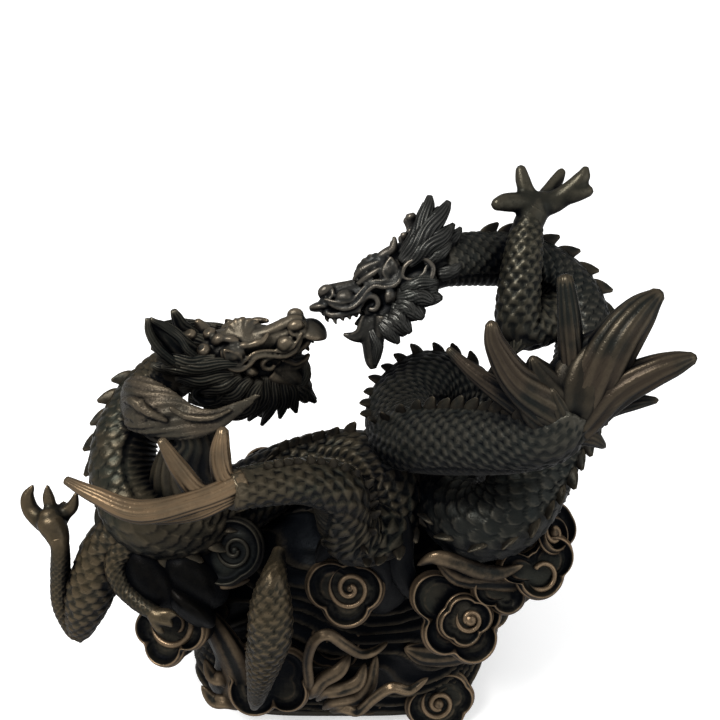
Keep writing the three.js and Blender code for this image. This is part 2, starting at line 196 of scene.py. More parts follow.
def patina_and_shade_group():
    """Chemical patina on cast bronze, with painted shade. Relief (0 hollow, 0.5 flat, 1 edge) says where wax
    and hands
    have rubbed the brown off, and the shade input (0 open, 1 deep) says how little of the open sky's light
    reaches a place:
    there the colour is painted dark as shade and the rubbed edges are dimmed."""
    tree = bpy.data.node_groups.new("patina_and_painted_shade", "ShaderNodeTree")
    group_socket(tree, "Place", "NodeSocketVector")
    group_socket(tree, "Relief", "NodeSocketFloat", value=0.5)
    group_socket(tree, "Painted_shade", "NodeSocketFloat", value=0.0)
    group_socket(tree, "Bronze", "NodeSocketColor", value=(0.0145, 0.0138, 0.0112, 1))
    group_socket(tree, "Patina", "NodeSocketColor", value=(0.0105, 0.0118, 0.0108, 1))
    group_socket(tree, "Recess", "NodeSocketColor", value=(0.0009, 0.0013, 0.0022, 1))
    group_socket(tree, "Rubbed", "NodeSocketColor", value=(0.090, 0.072, 0.048, 1))
    group_socket(tree, "Wear", "NodeSocketFloat", value=0.6)
    group_socket(tree, "Colour", "NodeSocketColor", "OUTPUT")
    group_socket(tree, "Roughness", "NodeSocketFloat", "OUTPUT")
    group_socket(tree, "Metallic", "NodeSocketFloat", "OUTPUT")
    group_socket(tree, "Height", "NodeSocketFloat", "OUTPUT")
    given, out = tree.nodes.new("NodeGroupInput"), tree.nodes.new("NodeGroupOutput")
    clouds = node(tree, "ShaderNodeTexNoise", in_2=42.0, in_3=4.0)
    mottle = node(tree, "ShaderNodeTexNoise", in_2=310.0, in_3=5.0, in_4=0.62)
    grain = node(tree, "ShaderNodeTexNoise", in_2=1500.0, in_3=3.0)
    pits = node(tree, "ShaderNodeTexVoronoi", in_2=780.0)
    for pattern in (clouds, mottle, grain, pits):
        tree.links.new(given.outputs["Place"], pattern.inputs[0])
    uneven = sums(tree, "MULTIPLY", sums(tree, "SUBTRACT", mottle.outputs[0], 0.5), 0.34)
    relief = sums(tree, "ADD", given.outputs["Relief"], uneven)
    edge = sums(tree, "MULTIPLY", ramp(tree, relief, 0.58, 1.0), given.outputs["Wear"])
    # Painted shade: where little of the open sky's light reaches, the rubbed edges are dimmed.
    open_air = sums(tree, "SUBTRACT", 1.0, given.outputs["Painted_shade"])
    edge = sums(tree, "MULTIPLY", edge, sums(tree, "ADD", sums(tree, "MULTIPLY", open_air, 0.8), 0.2))
    # Hollows keep dark patina, and places that the sky's light hardly reaches are painted dark as shade; both
    # take the recess colour.
    hollow = sums(tree, "SUBTRACT", 1.0, ramp(tree, relief, 0.05, 0.46))
    deep = sums(tree, "MAXIMUM", hollow, ramp(tree, given.outputs["Painted_shade"], 0.15, 1.0))
    ground = blend(tree, ramp(tree, clouds.outputs[0], 0.40, 0.62), given.outputs["Bronze"],
                   given.outputs["Patina"])
    dark = blend(tree, deep, ground, given.outputs["Recess"])
    colour = blend(tree, edge, dark, given.outputs["Rubbed"])
    tree.links.new(colour, out.inputs["Colour"])
    rough = sums(tree, "ADD", sums(tree, "MULTIPLY", deep, 0.22),
                 sums(tree, "MULTIPLY", mottle.outputs[0], 0.26))
    rough = sums(tree, "SUBTRACT", sums(tree, "ADD", rough, 0.20), sums(tree, "MULTIPLY", edge, 0.10))
    tree.links.new(rough, out.inputs["Roughness"])
    bare = sums(tree, "ADD", sums(tree, "MULTIPLY", edge, 0.3), 0.6)
    tree.links.new(sums(tree, "SUBTRACT", bare, sums(tree, "MULTIPLY", deep, 0.25)), out.inputs["Metallic"])
    speck = sums(tree, "MULTIPLY", ramp(tree, pits.outputs[0], 0.10, 0.42), 0.35)
    bumps = sums(tree, "ADD", sums(tree, "MULTIPLY", mottle.outputs[0], 0.9),
                 sums(tree, "MULTIPLY", grain.outputs[0], 0.35))
    tree.links.new(sums(tree, "ADD", bumps, speck), out.inputs["Height"])
    return tree


PATINA_AND_SHADE = patina_and_shade_group()


def bronze_and_painted_shade(name, wear=0.6, bump=0.35, **colours):
    """A material that holds the patina and painted shade group with this piece's own wear, bump and colours.
    """
    metal = bpy.data.materials.new(name)
    metal.use_nodes = True
    tree = metal.node_tree
    shader = tree.nodes["Principled BSDF"]
    patina_and_shade = node(tree, "ShaderNodeGroup", node_tree=PATINA_AND_SHADE)
    place = tree.nodes.new("ShaderNodeTexCoord")
    tree.links.new(place.outputs["Object"], patina_and_shade.inputs["Place"])
    for attribute, socket in (("relief", "Relief"), ("painted_shade", "Painted_shade")):
        source = node(tree, "ShaderNodeAttribute", attribute_name=attribute)
        tree.links.new(source.outputs["Fac"], patina_and_shade.inputs[socket])
    patina_and_shade.inputs["Wear"].default_value = wear
    for socket, colour in colours.items():
        patina_and_shade.inputs[socket.capitalize()].default_value = (*colour, 1)
    raised = node(tree, "ShaderNodeBump", in_0=bump, in_1=0.0004)
    tree.links.new(patina_and_shade.outputs["Height"], raised.inputs["Height"])
    tree.links.new(raised.outputs["Normal"], shader.inputs["Normal"])
    tree.links.new(patina_and_shade.outputs["Colour"], shader.inputs["Base Color"])
    tree.links.new(patina_and_shade.outputs["Roughness"], shader.inputs["Roughness"])
    tree.links.new(patina_and_shade.outputs["Metallic"], shader.inputs["Metallic"])
    shader.inputs["Specular IOR Level"].default_value = 0.10
    shader.inputs["Specular Tint"].default_value = (0.25, 0.25, 0.25, 1)
    return metal


# The bank is coloured near black: painted shade for the deep shade in the gaps between the scrolls.
bank_shade_colours = {"bronze": (0.0032, 0.0036, 0.0039), "patina": (0.0020, 0.0025, 0.0030)}
casting = [cast("cloud_bank", [cloud_core()], bronze_and_painted_shade("bank_painted_shade", wear=0.7, **bank_shade_colours))]

# ---------------------------------------------------------------- the cloud scrolls
# Round heads of cloud: each a dished leaf of overlapping lobes with a rolled rim, and a coil on its face.
# Each was modelled on its own and pressed onto the wax bank, and its rim is now rubbed bright.
# The first one lies in the left body's shade, and its darker colour and dimmer rim are painted shade.
LEAVES = [  # place, azimuth and elevation that it faces, thickness, dish, lobes (right, up, radius)
    ((-64, -55, 136), -8, 40, 24, 1.5, [(0, 1, 15.5), (-4, -4, 14)]),
    ((-5, -66, 120), -4, 38, 30, 1.5, [(-10, 1.5, 12.5), (-1.5, -6.5, 12.5), (5, 1, 12), (0, 4, 10)]),
    ((54, -72, 106), 8, 36, 30, 3.0, [(7, 1, 11), (2, -11, 12.5), (-12, -6, 11.5), (-16, 13, 12),
                                      (-4, 5, 15)]),
    ((53, -75, 108), 8, 34, 10, 1.0, [(-6, -1, 8.5), (-1, -5, 8.5), (5, 1, 9), (-1, 4, 9)]),
    ((98, -46, 143), 45, 40, 26, 1.5, [(1.5, 0, 13), (5, -3, 9.5), (0, 4, 11)]),
    ((97, -48, 145), 45, 40, 10, 0.5, [(-1.5, -2.5, 9.5)]),
    ((-98, -72, 97), -20, 38, 46, 4.0, [(-9, -2, 9.5), (0, -8.5, 11), (11, 3, 10.5), (7, 11, 10),
                                        (0, 2, 12)]),
    ((45, -64, 22), 6, 28, 24, 1.5, [(6, 3, 12), (-7, -5, 12), (2, -8, 14), (10, -2, 11)]),
    ((90, -64, 127), 14, 36, 30, 2.0, [(0, 2, 13), (-14, 8, 8), (8, 9, 11)]),
    ((74, -67, 116), 6, 32, 24, 1.5, [(0, 0, 9.5), (-9, 5, 9)]),
    ((-50, -76, 59), -2, 32, 24, 3.5, [(-11.7, 7.5, 10.7), (-6.4, -6.4, 14), (11.8, -6.4, 11),
                                       (10.7, 5.3, 12)]),
]
# right and up from the leaf's place, outer and inner radius, turns, start angle, half width, leaf
COILS = [
    (1.5, 0.5, 9.5, 1.4, 1.6, 2.6, 1.2, 0), (0, 0.5, 11, 1.2, 1.9, 2.0, 1.3, 1),
    (2.0, 0.0, 7.0, 2.2, 1.2, 2.4, 1.3, 3), (-1.5, -1.5, 6.5, 1.6, 1.1, 1.0, 1.3, 5),
    (1, 3.5, 12.5, 9.0, 1.0, 3.4, 1.7, 6), (2.5, 3.5, 5.0, 4.0, 0.7, 5.0, 0.9, 6),
    (0, -4, 10, 2.6, 1.5, 2.0, 1.5, 7), (1, 1, 8.0, 5.0, 0.8, 3.6, 1.3, 8),
]
# right and up from the leaf's place, radius, leaf
BEADS = [(1.5, 0.5, 1.9, 0), (0, 0.5, 1.7, 1), (2.0, 0.0, 3.2, 3), (-1.5, -1.5, 2.4, 5), (0, -4, 3.0, 7)]
OTHER_SCROLLS = [  # place, radius, azimuth, elevation, thickness, number of lobes
    ((-66, -60, 46), 15, -10, 20, 20, 4),
    ((-14, -60, 66), 16, 0, 22, 20, 4),
    ((-62, -56, 18), 17, -14, 18, 22, 5),
    ((0, -58, 18), 17, 0, 18, 20, 4),
    ((76, -38, 70), 17, 50, 18, 24, 4),
    ((106, -2, 110), 22, 88, 24, 28, 5),
    ((-108, -20, 112), 20, -90, 24, 26, 4),
    ((-92, -10, 60), 21, -90, 12, 22, 5),
    ((78, 6, 58), 21, 92, 12, 24, 4),
    ((88, 48, 104), 21, 138, 24, 30, 4),
    ((48, 68, 92), 24, 168, 24, 30, 5),
    ((-6, 70, 68), 24, 180, 24, 30, 4),
    ((-58, 66, 68), 23, -168, 24, 30, 5),
    ((-98, 40, 88), 20, -132, 24, 30, 4),
    ((-68, 50, 46), 21, -152, 14, 24, 4),
    ((-14, 62, 50), 23, 180, 14, 24, 5),
    ((44, 54, 46), 21, 154, 14, 24, 4),
    ((-56, 32, 106), 19, 0, 62, 26, 4),
]


def facing_axes(azimuth, elevation):
    """Right, up and outward for a face turned by the azimuth from the front and tilted up by the
    elevation."""
    a, e = np.radians(azimuth), np.radians(elevation)
    out = np.array([np.sin(a) * np.cos(e), -np.cos(a) * np.cos(e), np.sin(e)])
    right = np.array([np.cos(a), np.sin(a), 0])
    return right, np.cross(out, right), out


def lobed_reach(turn, lobes):
    """The outline of overlapping discs: for each direction u from the middle, the farthest of the places
    where it leaves a disc, c.u + sqrt(r^2 - |c|^2 + (c.u)^2)."""
    x, y, radius = (column[:, None] for column in np.array(lobes, float).T)
    ahead = x * np.cos(turn) + y * np.sin(turn)
    room = radius ** 2 - x ** 2 - y ** 2 + ahead ** 2
    return np.max(np.where(room > 0, ahead + np.sqrt(np.maximum(room, 0)), 0), axis=0)


def cloud_leaf(place, azimuth, elevation, thick, dish, lobes, across=112, over=30, behind=7):
    """Rings from the face's middle to the lobed outline and back along the skirt. The face rises towards its
    edge, with a valley inside a rolled rim, and the skirt narrows to the root in soft steps."""
    right, up, out = facing_axes(azimuth, elevation)
    turn = angles(across)
    edge = lobed_reach(turn, lobes)[None, :]
    edge = (np.roll(edge, 1, 1) + edge + np.roll(edge, -1, 1)) / 3
    share = (1 - (1 - np.linspace(0.02, 1, over)) ** 1.7)[:, None]
    inward = edge * (1 - share)
    rim = 1.7 * np.exp(-((inward - 1.7) / 1.15) ** 2) - 1.0 * np.exp(-((inward - 5.0) / 2.1) ** 2)
    lift = dish * (share ** 2 - 0.6) + rim - 1.4 * np.exp(-(inward / 0.5) ** 2)
    back = np.linspace(0.04, 1, behind)[:, None]
    skirt = edge * (1 - 0.42 * back ** 1.4) + 0.5 * np.sin(2 * np.pi * 3 * back ** 0.8) + 0.3
    far = np.concatenate([edge * share, skirt])
    height = np.concatenate([lift, lift[-1:] - thick * back])
    place = np.array(place, float)
    rings = place + far[..., None] * (np.cos(turn)[:, None] * right + np.sin(turn)[:, None] * up)
    return skin(rings[:, ::-1] + height[:, ::-1, None] * out, first=place + out * (lift[0].mean()))


def cloud_coil(place, azimuth, elevation, dish, across, above, outer, inner, turns, start, half, steps=84,
               around=12):
    """A rolled coil on a leaf: a tube whose middle winds inward at an even pitch and climbs as it goes, and
    which fades into the face at its outer end."""
    right, up, out = facing_axes(azimuth, elevation)
    t = np.linspace(0, 1, steps)
    turn = start + 2 * np.pi * turns * t
    far = outer + (inner - outer) * t
    tube = half * smooth_step(-0.03, 0.16, t) * smooth_step(1.04, 0.97, t)
    line = np.array(place) + (far * np.cos(turn) + across)[:, None] * right
    line = line + (far * np.sin(turn) + above)[:, None] * up + (0.1 - 0.45 * dish + 0.8 * t)[:, None] * out
    along = unit(np.gradient(line, axis=0))
    side = np.cross(along, out)
    ring = angles(around)[None, :]
    high = tube[:, None] * 0.95 * np.cos(ring)
    flat = tube[:, None] * np.sin(ring)
    return skin(line[:, None] + high[..., None] * out + flat[..., None] * side[:, None])


def cloud_bead(place, azimuth, elevation, dish, across, above, radius):
    """A ball of (radius cos v, radius sin v) rings, sunk to its middle in the eye of a coil."""
    right, up, out = facing_axes(azimuth, elevation)
    middle = np.array(place) + across * right + above * up + (0.5 - 0.45 * dish) * out
    v, turn = np.linspace(1.5, -1.5, 14)[:, None, None], angles(20)[None, :, None]
    ring = np.cos(v) * (np.cos(turn) * right + np.sin(turn) * up)
    return skin((middle + radius * (ring + 0.9 * np.sin(v) * out))[:, ::-1])


def round_lobes(radius, number):
    """Evenly spaced lobes for a scroll whose front isn't seen face on."""
    turn = np.arange(number) * 2 * np.pi / number + 0.6
    return [(0.42 * radius * np.cos(a), 0.42 * radius * np.sin(a), 0.6 * radius) for a in turn]


scrolls = [cloud_leaf(*leaf) for leaf in LEAVES[1:]]
shaded = [cloud_leaf(*LEAVES[0])]
for across, above, outer, inner, turns, start, half, k in COILS:
    place, azimuth, elevation, _, dish, _ = LEAVES[k]
    coil = cloud_coil(place, azimuth, elevation, dish, across, above, outer, inner, turns, start, half)
    (scrolls if k else shaded).append(coil)
for across, above, radius, k in BEADS:
    place, azimuth, elevation, _, dish, _ = LEAVES[k]
    (scrolls if k else shaded).append(cloud_bead(place, azimuth, elevation, dish, across, above, radius))
for k, (place, radius, azimuth, elevation, thick, number) in enumerate(OTHER_SCROLLS):
    coil = (0, 0, 0.6 * radius, 1.5, 1.6, 2 + k, 1.3)
    lobes = round_lobes(radius, number)
    scrolls.append(cloud_leaf(place, azimuth, elevation, thick, 1.5, lobes, across=40, over=11, behind=4))
    scrolls.append(cloud_coil(place, azimuth, elevation, 1.5, *coil, steps=36, around=8))
scroll_colours = {"bronze": (0.0215, 0.0195, 0.0150), "patina": (0.0145, 0.0150, 0.0125),
                  "rubbed": (0.18, 0.125, 0.077)}
casting.append(cast("cloud_scrolls", scrolls, bronze_and_painted_shade("scroll_bronze", wear=0.95, **scroll_colours)))
# The first leaf's darker colours and low wear are painted shade, for the left body's shadow on it.
casting.append(cast("shaded_scroll", shaded, bronze_and_painted_shade("shaded_scroll_bronze", wear=0.2)))

# ---------------------------------------------------------------- the cloud streams
# Long flowing tails of cloud that join one scroll to the next and wash round the dragons' legs. They are
# ropes of wax, some smooth and some combed with a toothed tool, so that grooves run from end to end.
STREAMS = [  # x, y, z, radius along the rope, then how wide, how many grooves and how deep
    ([(-84, -56, 22, 7), (-72, -66, 40, 9), (-68, -68, 62, 8), (-74, -66, 84, 6), (-84, -58, 98, 3)], 1.5,
     5, 0.16),
    ([(28, -64, 136, 2), (36, -66, 144, 3), (46, -67, 142, 3), (57, -67, 136, 3.2), (68, -66, 133, 3),
      (80, -64, 136, 2)], 1.3, 3, 0.08),
    ([(38, -58, 134, 4), (50, -60, 128, 6), (64, -60, 124, 6), (78, -58, 120, 6), (90, -50, 112, 3)], 1.4,
     8, 0.12),
    ([(66, -56, 100, 5), (78, -50, 96, 7), (90, -42, 100, 8), (99, -30, 108, 7), (103, -12, 118, 3)], 1.5,
     4, 0.2),
    ([(24, -62, 66, 3), (36, -60, 60, 5), (54, -56, 56, 6), (70, -46, 56, 6), (80, -30, 58, 3)], 1.6, 8,
     0.14),
    ([(-104, -50, 118, 5), (-112, -38, 108, 8), (-108, -26, 94, 8), (-98, -18, 80, 7), (-92, -12, 62, 3)],
     1.5, 4, 0.2),
    ([(-98, 20, 96, 4), (-96, 30, 80, 8), (-88, 40, 66, 8), (-74, 50, 60, 6), (-58, 56, 62, 2)], 1.5, 4,
     0.2),
    ([(-44, 58, 86, 4), (-30, 66, 78, 8), (-14, 66, 76, 8), (4, 64, 80, 7), (18, 62, 88, 3)], 1.6, 4, 0.2),
    ([(24, 60, 74, 4), (36, 60, 70, 8), (52, 56, 74, 8), (68, 48, 82, 7), (80, 42, 94, 3)], 1.5, 4, 0.2),
    ([(92, 30, 94, 4), (94, 22, 80, 8), (88, 16, 66, 8), (80, 18, 46, 7), (72, 26, 30, 3)], 1.5, 4, 0.2),
    ([(-90, 10, 40, 4), (-92, 16, 28, 7), (-86, 30, 22, 8), (-76, 42, 22, 7), (-62, 52, 20, 3)], 1.5, 4,
     0.2),
    ([(-50, 54, 26, 4), (-34, 58, 24, 8), (-10, 60, 22, 8), (14, 60, 24, 8), (36, 54, 24, 3)], 1.6, 4, 0.2),
]
STRANDS = [  # thin round strands where the folds turn over: the comb, the ribbon and the arch
    [(-5, -69, 71, 1.2), (-11, -75, 66, 3.2), (-20, -77, 60, 3.4), (-25, -78, 51, 3.2),
     (-28, -74, 38, 1.2)],
    [(3, -67, 60, 1.2), (-1, -74, 54, 3.2), (-9, -76, 51, 3.4), (-18, -78, 51, 3.2), (-24, -75, 37, 1.2)],
    [(9, -65, 64, 1.2), (5, -72, 48, 3.4), (-2, -75, 40, 3.6), (-13, -78, 41, 3.4), (-21, -75, 29, 1.2)],
    [(-88, -69, 42, 1.2), (-81, -74, 36, 3), (-73, -76, 37, 3), (-67, -74, 27, 1.2)],
    [(-84, -67, 64, 1.2), (-80, -72, 56, 3), (-74, -74, 55, 3), (-73, -72, 45, 1.2)],
    [(-17, -77, 30, 1.2), (-9, -80, 38, 2.2), (-1, -80, 35, 2.2), (8, -79, 46, 2.2), (17, -78, 54, 2.4),
     (27, -77, 50, 2.2), (37, -72, 54, 1.2)],
    [(-29, -76, 44, 1.2), (-27, -79, 61, 2.2), (-27, -78, 79, 2.2), (-23, -78, 95, 2.4),
     (-16, -77, 99, 2.4), (-8, -76, 89, 2.4), (0, -73, 77, 2.2), (7, -70, 74, 2.0), (15, -64, 74, 1.2)],
    [(-80, -57, 135, 1.2), (-78, -62, 126, 2), (-73, -63, 122, 2.4), (-65, -63, 121, 2.4),
     (-56, -59, 119, 1.2)],
]
# These folds are coloured near black: painted shade, a dark mass where the deep shade under the bodies falls.
FOLDS = [  # the dark folds deep under the bodies
    ([(22, -50, 158, 3), (21, -56, 146, 4.5), (20, -58, 132, 5), (24, -60, 118, 4), (28, -60, 104, 2)],
     1.4, 5, 0.1),
    ([(14, -46, 146, 4), (14, -52, 128, 8), (13, -54, 108, 9), (12, -54, 86, 5)], 1.6, 3, 0.08),
    ([(6, -52, 157, 3), (1, -56, 147, 4.4), (5, -60, 140, 4.4), (12, -61, 129, 3.4), (13, -60, 108, 2.5)],
     1.3, 3, 0.1),
    ([(-2, -48, 152, 3), (-9, -53, 147, 4.4), (-16, -56, 141, 4.4), (-22, -60, 133, 3.0)], 1.3, 3, 0.1),
    ([(-112, -46, 142, 8), (-110, -55, 131, 11), (-104, -62, 120, 12), (-97, -64, 111, 10),
      (-92, -62, 104, 6)], 1.2, 3, 0.06),
    ([(-100, -50, 136, 8), (-90, -57, 125, 12), (-80, -60, 114, 12), (-70, -56, 104, 8)], 1.2, 3, 0.06),
    ([(-96, -66, 124, 3), (-88, -72, 118, 5), (-80, -72, 108, 6), (-76, -68, 96, 4)], 1.3, 4, 0.1),
]


def guide(rows, step):
    """A smooth (Catmull-Rom) line through the rows, evenly spaced: every column is carried along with it, and
    the last column that comes back counts the rows."""
    rows = np.array(rows, float)
    rows = np.column_stack([rows, np.arange(len(rows))])
    padded = np.vstack([2 * rows[0] - rows[1], rows, 2 * rows[-1] - rows[-2]])
    t = np.linspace(0, len(rows) - 1, 40 * len(rows))
    i = np.minimum(t.astype(int), len(rows) - 2)
    f = (t - i)[:, None]
    a, b, c, d = (padded[i + k] for k in range(4))
    square, cube = 2 * a - 5 * b + 4 * c - d, 3 * b - a - 3 * c + d
    line = 0.5 * (2 * b + (c - a) * f + square * f ** 2 + cube * f ** 3)
    length = np.concatenate([[0], np.cumsum(np.linalg.norm(np.diff(line[:, :3], axis=0), axis=1))])
    s = np.linspace(0, length[-1], max(int(length[-1] / step), 5))
    return s, np.stack([np.interp(s, length, line[:, k]) for k in range(rows.shape[1])], 1)


def axes_along(line, facing):
    """Along, crest and side for each point of a line. The crest is as near to facing as it can be."""
    along = unit(np.gradient(line[:, :3], axis=0))
    facing = np.broadcast_to(np.asarray(facing, float), along.shape)
    crest = unit(facing - (facing * along).sum(1, keepdims=True) * along)
    return along, crest, np.cross(along, crest)


def lock(rows, facing, wide=1.0, grooves=8, depth=0.2, twist=0.0, step=1.5, around=28, flat=1.0, wave=0.0,
         blunt=0.0):
    """A tapering lock. Its section is an ellipse, wide times the radius across and flat times the radius
    deep, less grooves, depth (0.5 + 0.5 cos(n a))^2, that run from root to tip, and turn by the twist and
    sway by the wave on the way. Over the blunt length at each end the radius shrinks as the quarter of an
    ellipse."""
    s, line = guide(rows, step)
    _, crest, side = axes_along(line, facing)
    share = (s / s[-1])[:, None]
    turn = angles(around)[None, :]
    sway = twist * share + wave * np.sin(9 * share + 4 * twist)
    cut = depth * (0.5 + 0.5 * np.cos(grooves * (turn + sway))) ** 2
    reach = np.maximum(line[:, 3:4], 0.2) * (1 - cut)
    if blunt:
        to_end = np.clip(np.minimum(s, s[-1] - s)[:, None] / blunt, 0, 1)
        reach = reach * np.sqrt(np.clip(1 - (1 - to_end) ** 2, 0.01, 1))
    rings = line[:, None, :3] + (reach * flat * np.cos(turn))[..., None] * crest[:, None]
    rings = rings + (reach * wide * np.sin(turn))[..., None] * side[:, None]
    return skin(rings, first=line[0, :3], last=line[-1, :3])


def away_from_bank(rows):
    """The way that the bank's side faces near a stream's middle."""
    middle = np.mean(np.array(rows)[:, :3], axis=0)
    return unit(np.array([(middle[0] + 6) / 90, middle[1] / 60, 0.25]))


def streams_of(table, step):
    """A rope for each row of a table, with enough points round it for its grooves."""
    return [lock(rows, away_from_bank(rows), wide=wide, grooves=grooves, depth=depth, twist=0.7, step=step,
                 around=max(5 * grooves, 30), wave=0.10, blunt=14)
            for rows, wide, grooves, depth in table]


streams = streams_of(STREAMS, 1.6)
streams += [lock(rows, (0, -0.8, 0.6), wide=1.3, grooves=3, depth=0.22, twist=0.9, step=1.2, around=20,
                 blunt=5)
            for rows in STRANDS]
stream_colours = {"bronze": (0.0170, 0.0155, 0.0122), "patina": (0.0105, 0.0110, 0.0100),
                  "rubbed": (0.17, 0.122, 0.076)}
casting.append(cast("cloud_streams", streams, bronze_and_painted_shade("stream_bronze", wear=0.8, **stream_colours)))
# Painted shade: the folds are near black and barely worn.
fold_shade_colours = {"bronze": (0.0016, 0.0019, 0.0024), "patina": (0.0010, 0.0013, 0.0018)}
casting.append(cast("cloud_folds", streams_of(FOLDS, 2.0),
                    bronze_and_painted_shade("fold_painted_shade", wear=0.05, **fold_shade_colours)))

# ---------------------------------------------------------------- the dragons' bodies
# Each dragon is one long body, a thick tube that loops over the clouds. Rows of overlapping scales cover
# its back and sides, and broad plates its belly. The scales were cut into the wax one by one.
LEFT_BODY = [  # x, y, z, radius, and which way the crest faces, from the skull to the tail
    (-88, 2, 209, 12, 0, 0, 1),
    (-101, 2, 200, 13, -0.5, 0.3, 1),
    (-112, -8, 190, 14, -1, 0.3, 0.6),
    (-118, -22, 178, 15.5, -1, 0.2, 0),
    (-116, -36, 164, 16.5, -1, 0, -0.3),
    (-105, -47, 151, 17, -0.6, -0.6, -0.6),
    (-85, -41, 142, 17, -0.2, -1, 0),
    (-64, -20, 137, 17, 0, -0.7, 0.7),
    (-43, -3, 138, 16.5, 0, 0, 1),
    (-17, 0, 146, 16, 0, 0, 1),
    (4, -9, 153, 15, 0.5, 0.2, 0.8),
    (18, -29, 152, 14.5, 1, 0, 0.3),
    (12, -48, 146, 14, 0.7, -0.7, 0),
    (-2, -58, 151, 13.5, 0.2, -1, 0),
    (-8, -63, 172, 12.5, 0.8, -0.2, 0.6),
    (-10, -68, 191, 11.5, 0.6, -0.1, 0.8),
    (-23, -77, 205, 9.5, 0, -0.1, 1),
    (-38, -87, 213, 8.5, 0, -0.1, 1),
    (-52, -96, 218, 7.5, 0, -0.1, 1),
]
RIGHT_BODY = [
    (39, 28, 254, 12, 0, 0.3, 1),
    (59, 35, 252, 13, 0, 0.4, 1),
    (81, 40, 248, 13.5, 0.2, 0.4, 1),
    (100, 36, 241, 13.5, 0.6, 0.4, 0.7),
    (111, 23, 231, 13.5, 1, 0.2, 0.3),
    (112, 5, 218, 13.5, 1, 0, 0),
    (106, -12, 203, 14.5, 1, -0.2, 0.1),
    (95, -27, 189, 16, 0.8, -0.6, 0.2),
    (85, -41, 175, 17, 0.5, -0.8, 0.2),
    (72, -52, 161, 17.5, 0.1, -1, 0.1),
    (56, -51, 153, 17.5, -0.5, -0.8, 0.1),
    (46, -36, 152, 17, -1, -0.3, 0.3),
    (50, -13, 157, 17, -0.6, 0, 0.7),
    (65, 7, 166, 16.5, 0.7, 0.2, 0.6),
    (56, 19, 179, 16.5, 0.3, 0.4, 0.9),
    (36, 14, 189, 16.5, -0.2, 0.4, 0.9),
    (21, -8, 192, 16, -0.8, 0.2, 0.6),
    (20, -34, 196, 15.5, -0.9, 0, 0.5),
    (31, -53, 208, 15, -0.4, 0.3, 0.9),
    (46, -69, 221, 14, -0.2, 0.3, 1),
    (61, -82, 233, 13, -0.4, 0.2, 0.9),
    (73, -91, 245, 11.5, -0.8, 0, 0.4),
    (79, -90, 257, 9, -1, 0, 0),
]
BELLY_ANGLE = 2.05  # from the crest to the edge of the belly plates, in radians
PLATE_PITCH = 3.6
NOTCH_PITCH = 3.8  # of the notches in the ridge under the crest
NECK_RADIUS = 13  # the radius of body at which scales and fins have their full size
# Bands of scales: first row of the line, scales across, how like pebbles they are, and row over width.
LEFT_SCALES = [(0, 8, 0.15, 0.52), (6, 10, 0.9, 0.85), (12, 7, 0.95, 0.85)]
RIGHT_SCALES = [(0, 9, 0.15, 0.52), (8, 8, 0.1, 0.52), (11.5, 12, 0.6, 0.7), (17.2, 11, 0.5, 0.7)]


def scales(row, column, pebble):
    """Roof-tile scales, 0 to 1 high. Row and column count scales along and round. A scale is a tongue two
    rows long with a round free end; the one nearer the head lies on top. A flat scale climbs along its
    length to a raised edge, and a pebble is an oval dome in the part that shows. Pebble mixes the two."""
    older = np.floor(row) - 1
    run = row - older
    off = (column + 0.5 * (older % 2)) % 1 - 0.5
    end = 1 + np.sqrt(np.clip(1 - (2 * off) ** 2, 0, 1))
    on_older = run < end
    newer_off = (column + 0.5 * ((older + 1) % 2)) % 1 - 0.5
    newer_end = 1 + np.sqrt(np.clip(1 - (2 * newer_off) ** 2, 0, 1))
    run = np.where(on_older, run, run - 1)
    off = np.where(on_older, off, newer_off)
    end = np.where(on_older, end, newer_end)
    to_edge = np.minimum(end - run, (0.5 - np.abs(off)) * 2.2)
    edge = np.exp(-((to_edge - 0.15) / 0.11) ** 2)
    seam = np.exp(-(to_edge / 0.05) ** 2)
    tile = 0.55 * run / 2 + 0.16 * (1 - (1.8 * off) ** 2) + 0.24 * edge - 0.25 * seam
    oval = np.sqrt(np.clip(1 - (2.1 * off) ** 2 - ((end - run - 0.50) / 0.56) ** 2, 0, 1))
    return (1 - pebble) * tile + pebble * (0.85 * oval + 0.15 * tile)


def belly_plates(s, bow):
    """Broad plates, 0 to 1 high: each climbs over its length to a rounded lip and drops to the next."""
    f = (s / PLATE_PITCH + 0.5 * bow) % 1
    return smooth_step(0, 0.8, f) * (1 - smooth_step(0.84, 1.0, f))


def back_angles(around):
    """Angles round a body: close together over the scales, and wide apart on the belly plates."""
    belly = int(0.18 * around)
    back = np.linspace(-BELLY_ANGLE, BELLY_ANGLE, around - belly)
    rest = np.linspace(BELLY_ANGLE, 2 * np.pi - BELLY_ANGLE, belly + 2)[1:-1]
    return np.concatenate([back, rest])


def banded(row, bands, column):
    """The value of one column of a bands table for each row of a line."""
    starts = [band[0] for band in bands]
    values = np.array([band[column] for band in bands], float)
    return values[np.searchsorted(starts, row, "right") - 1]


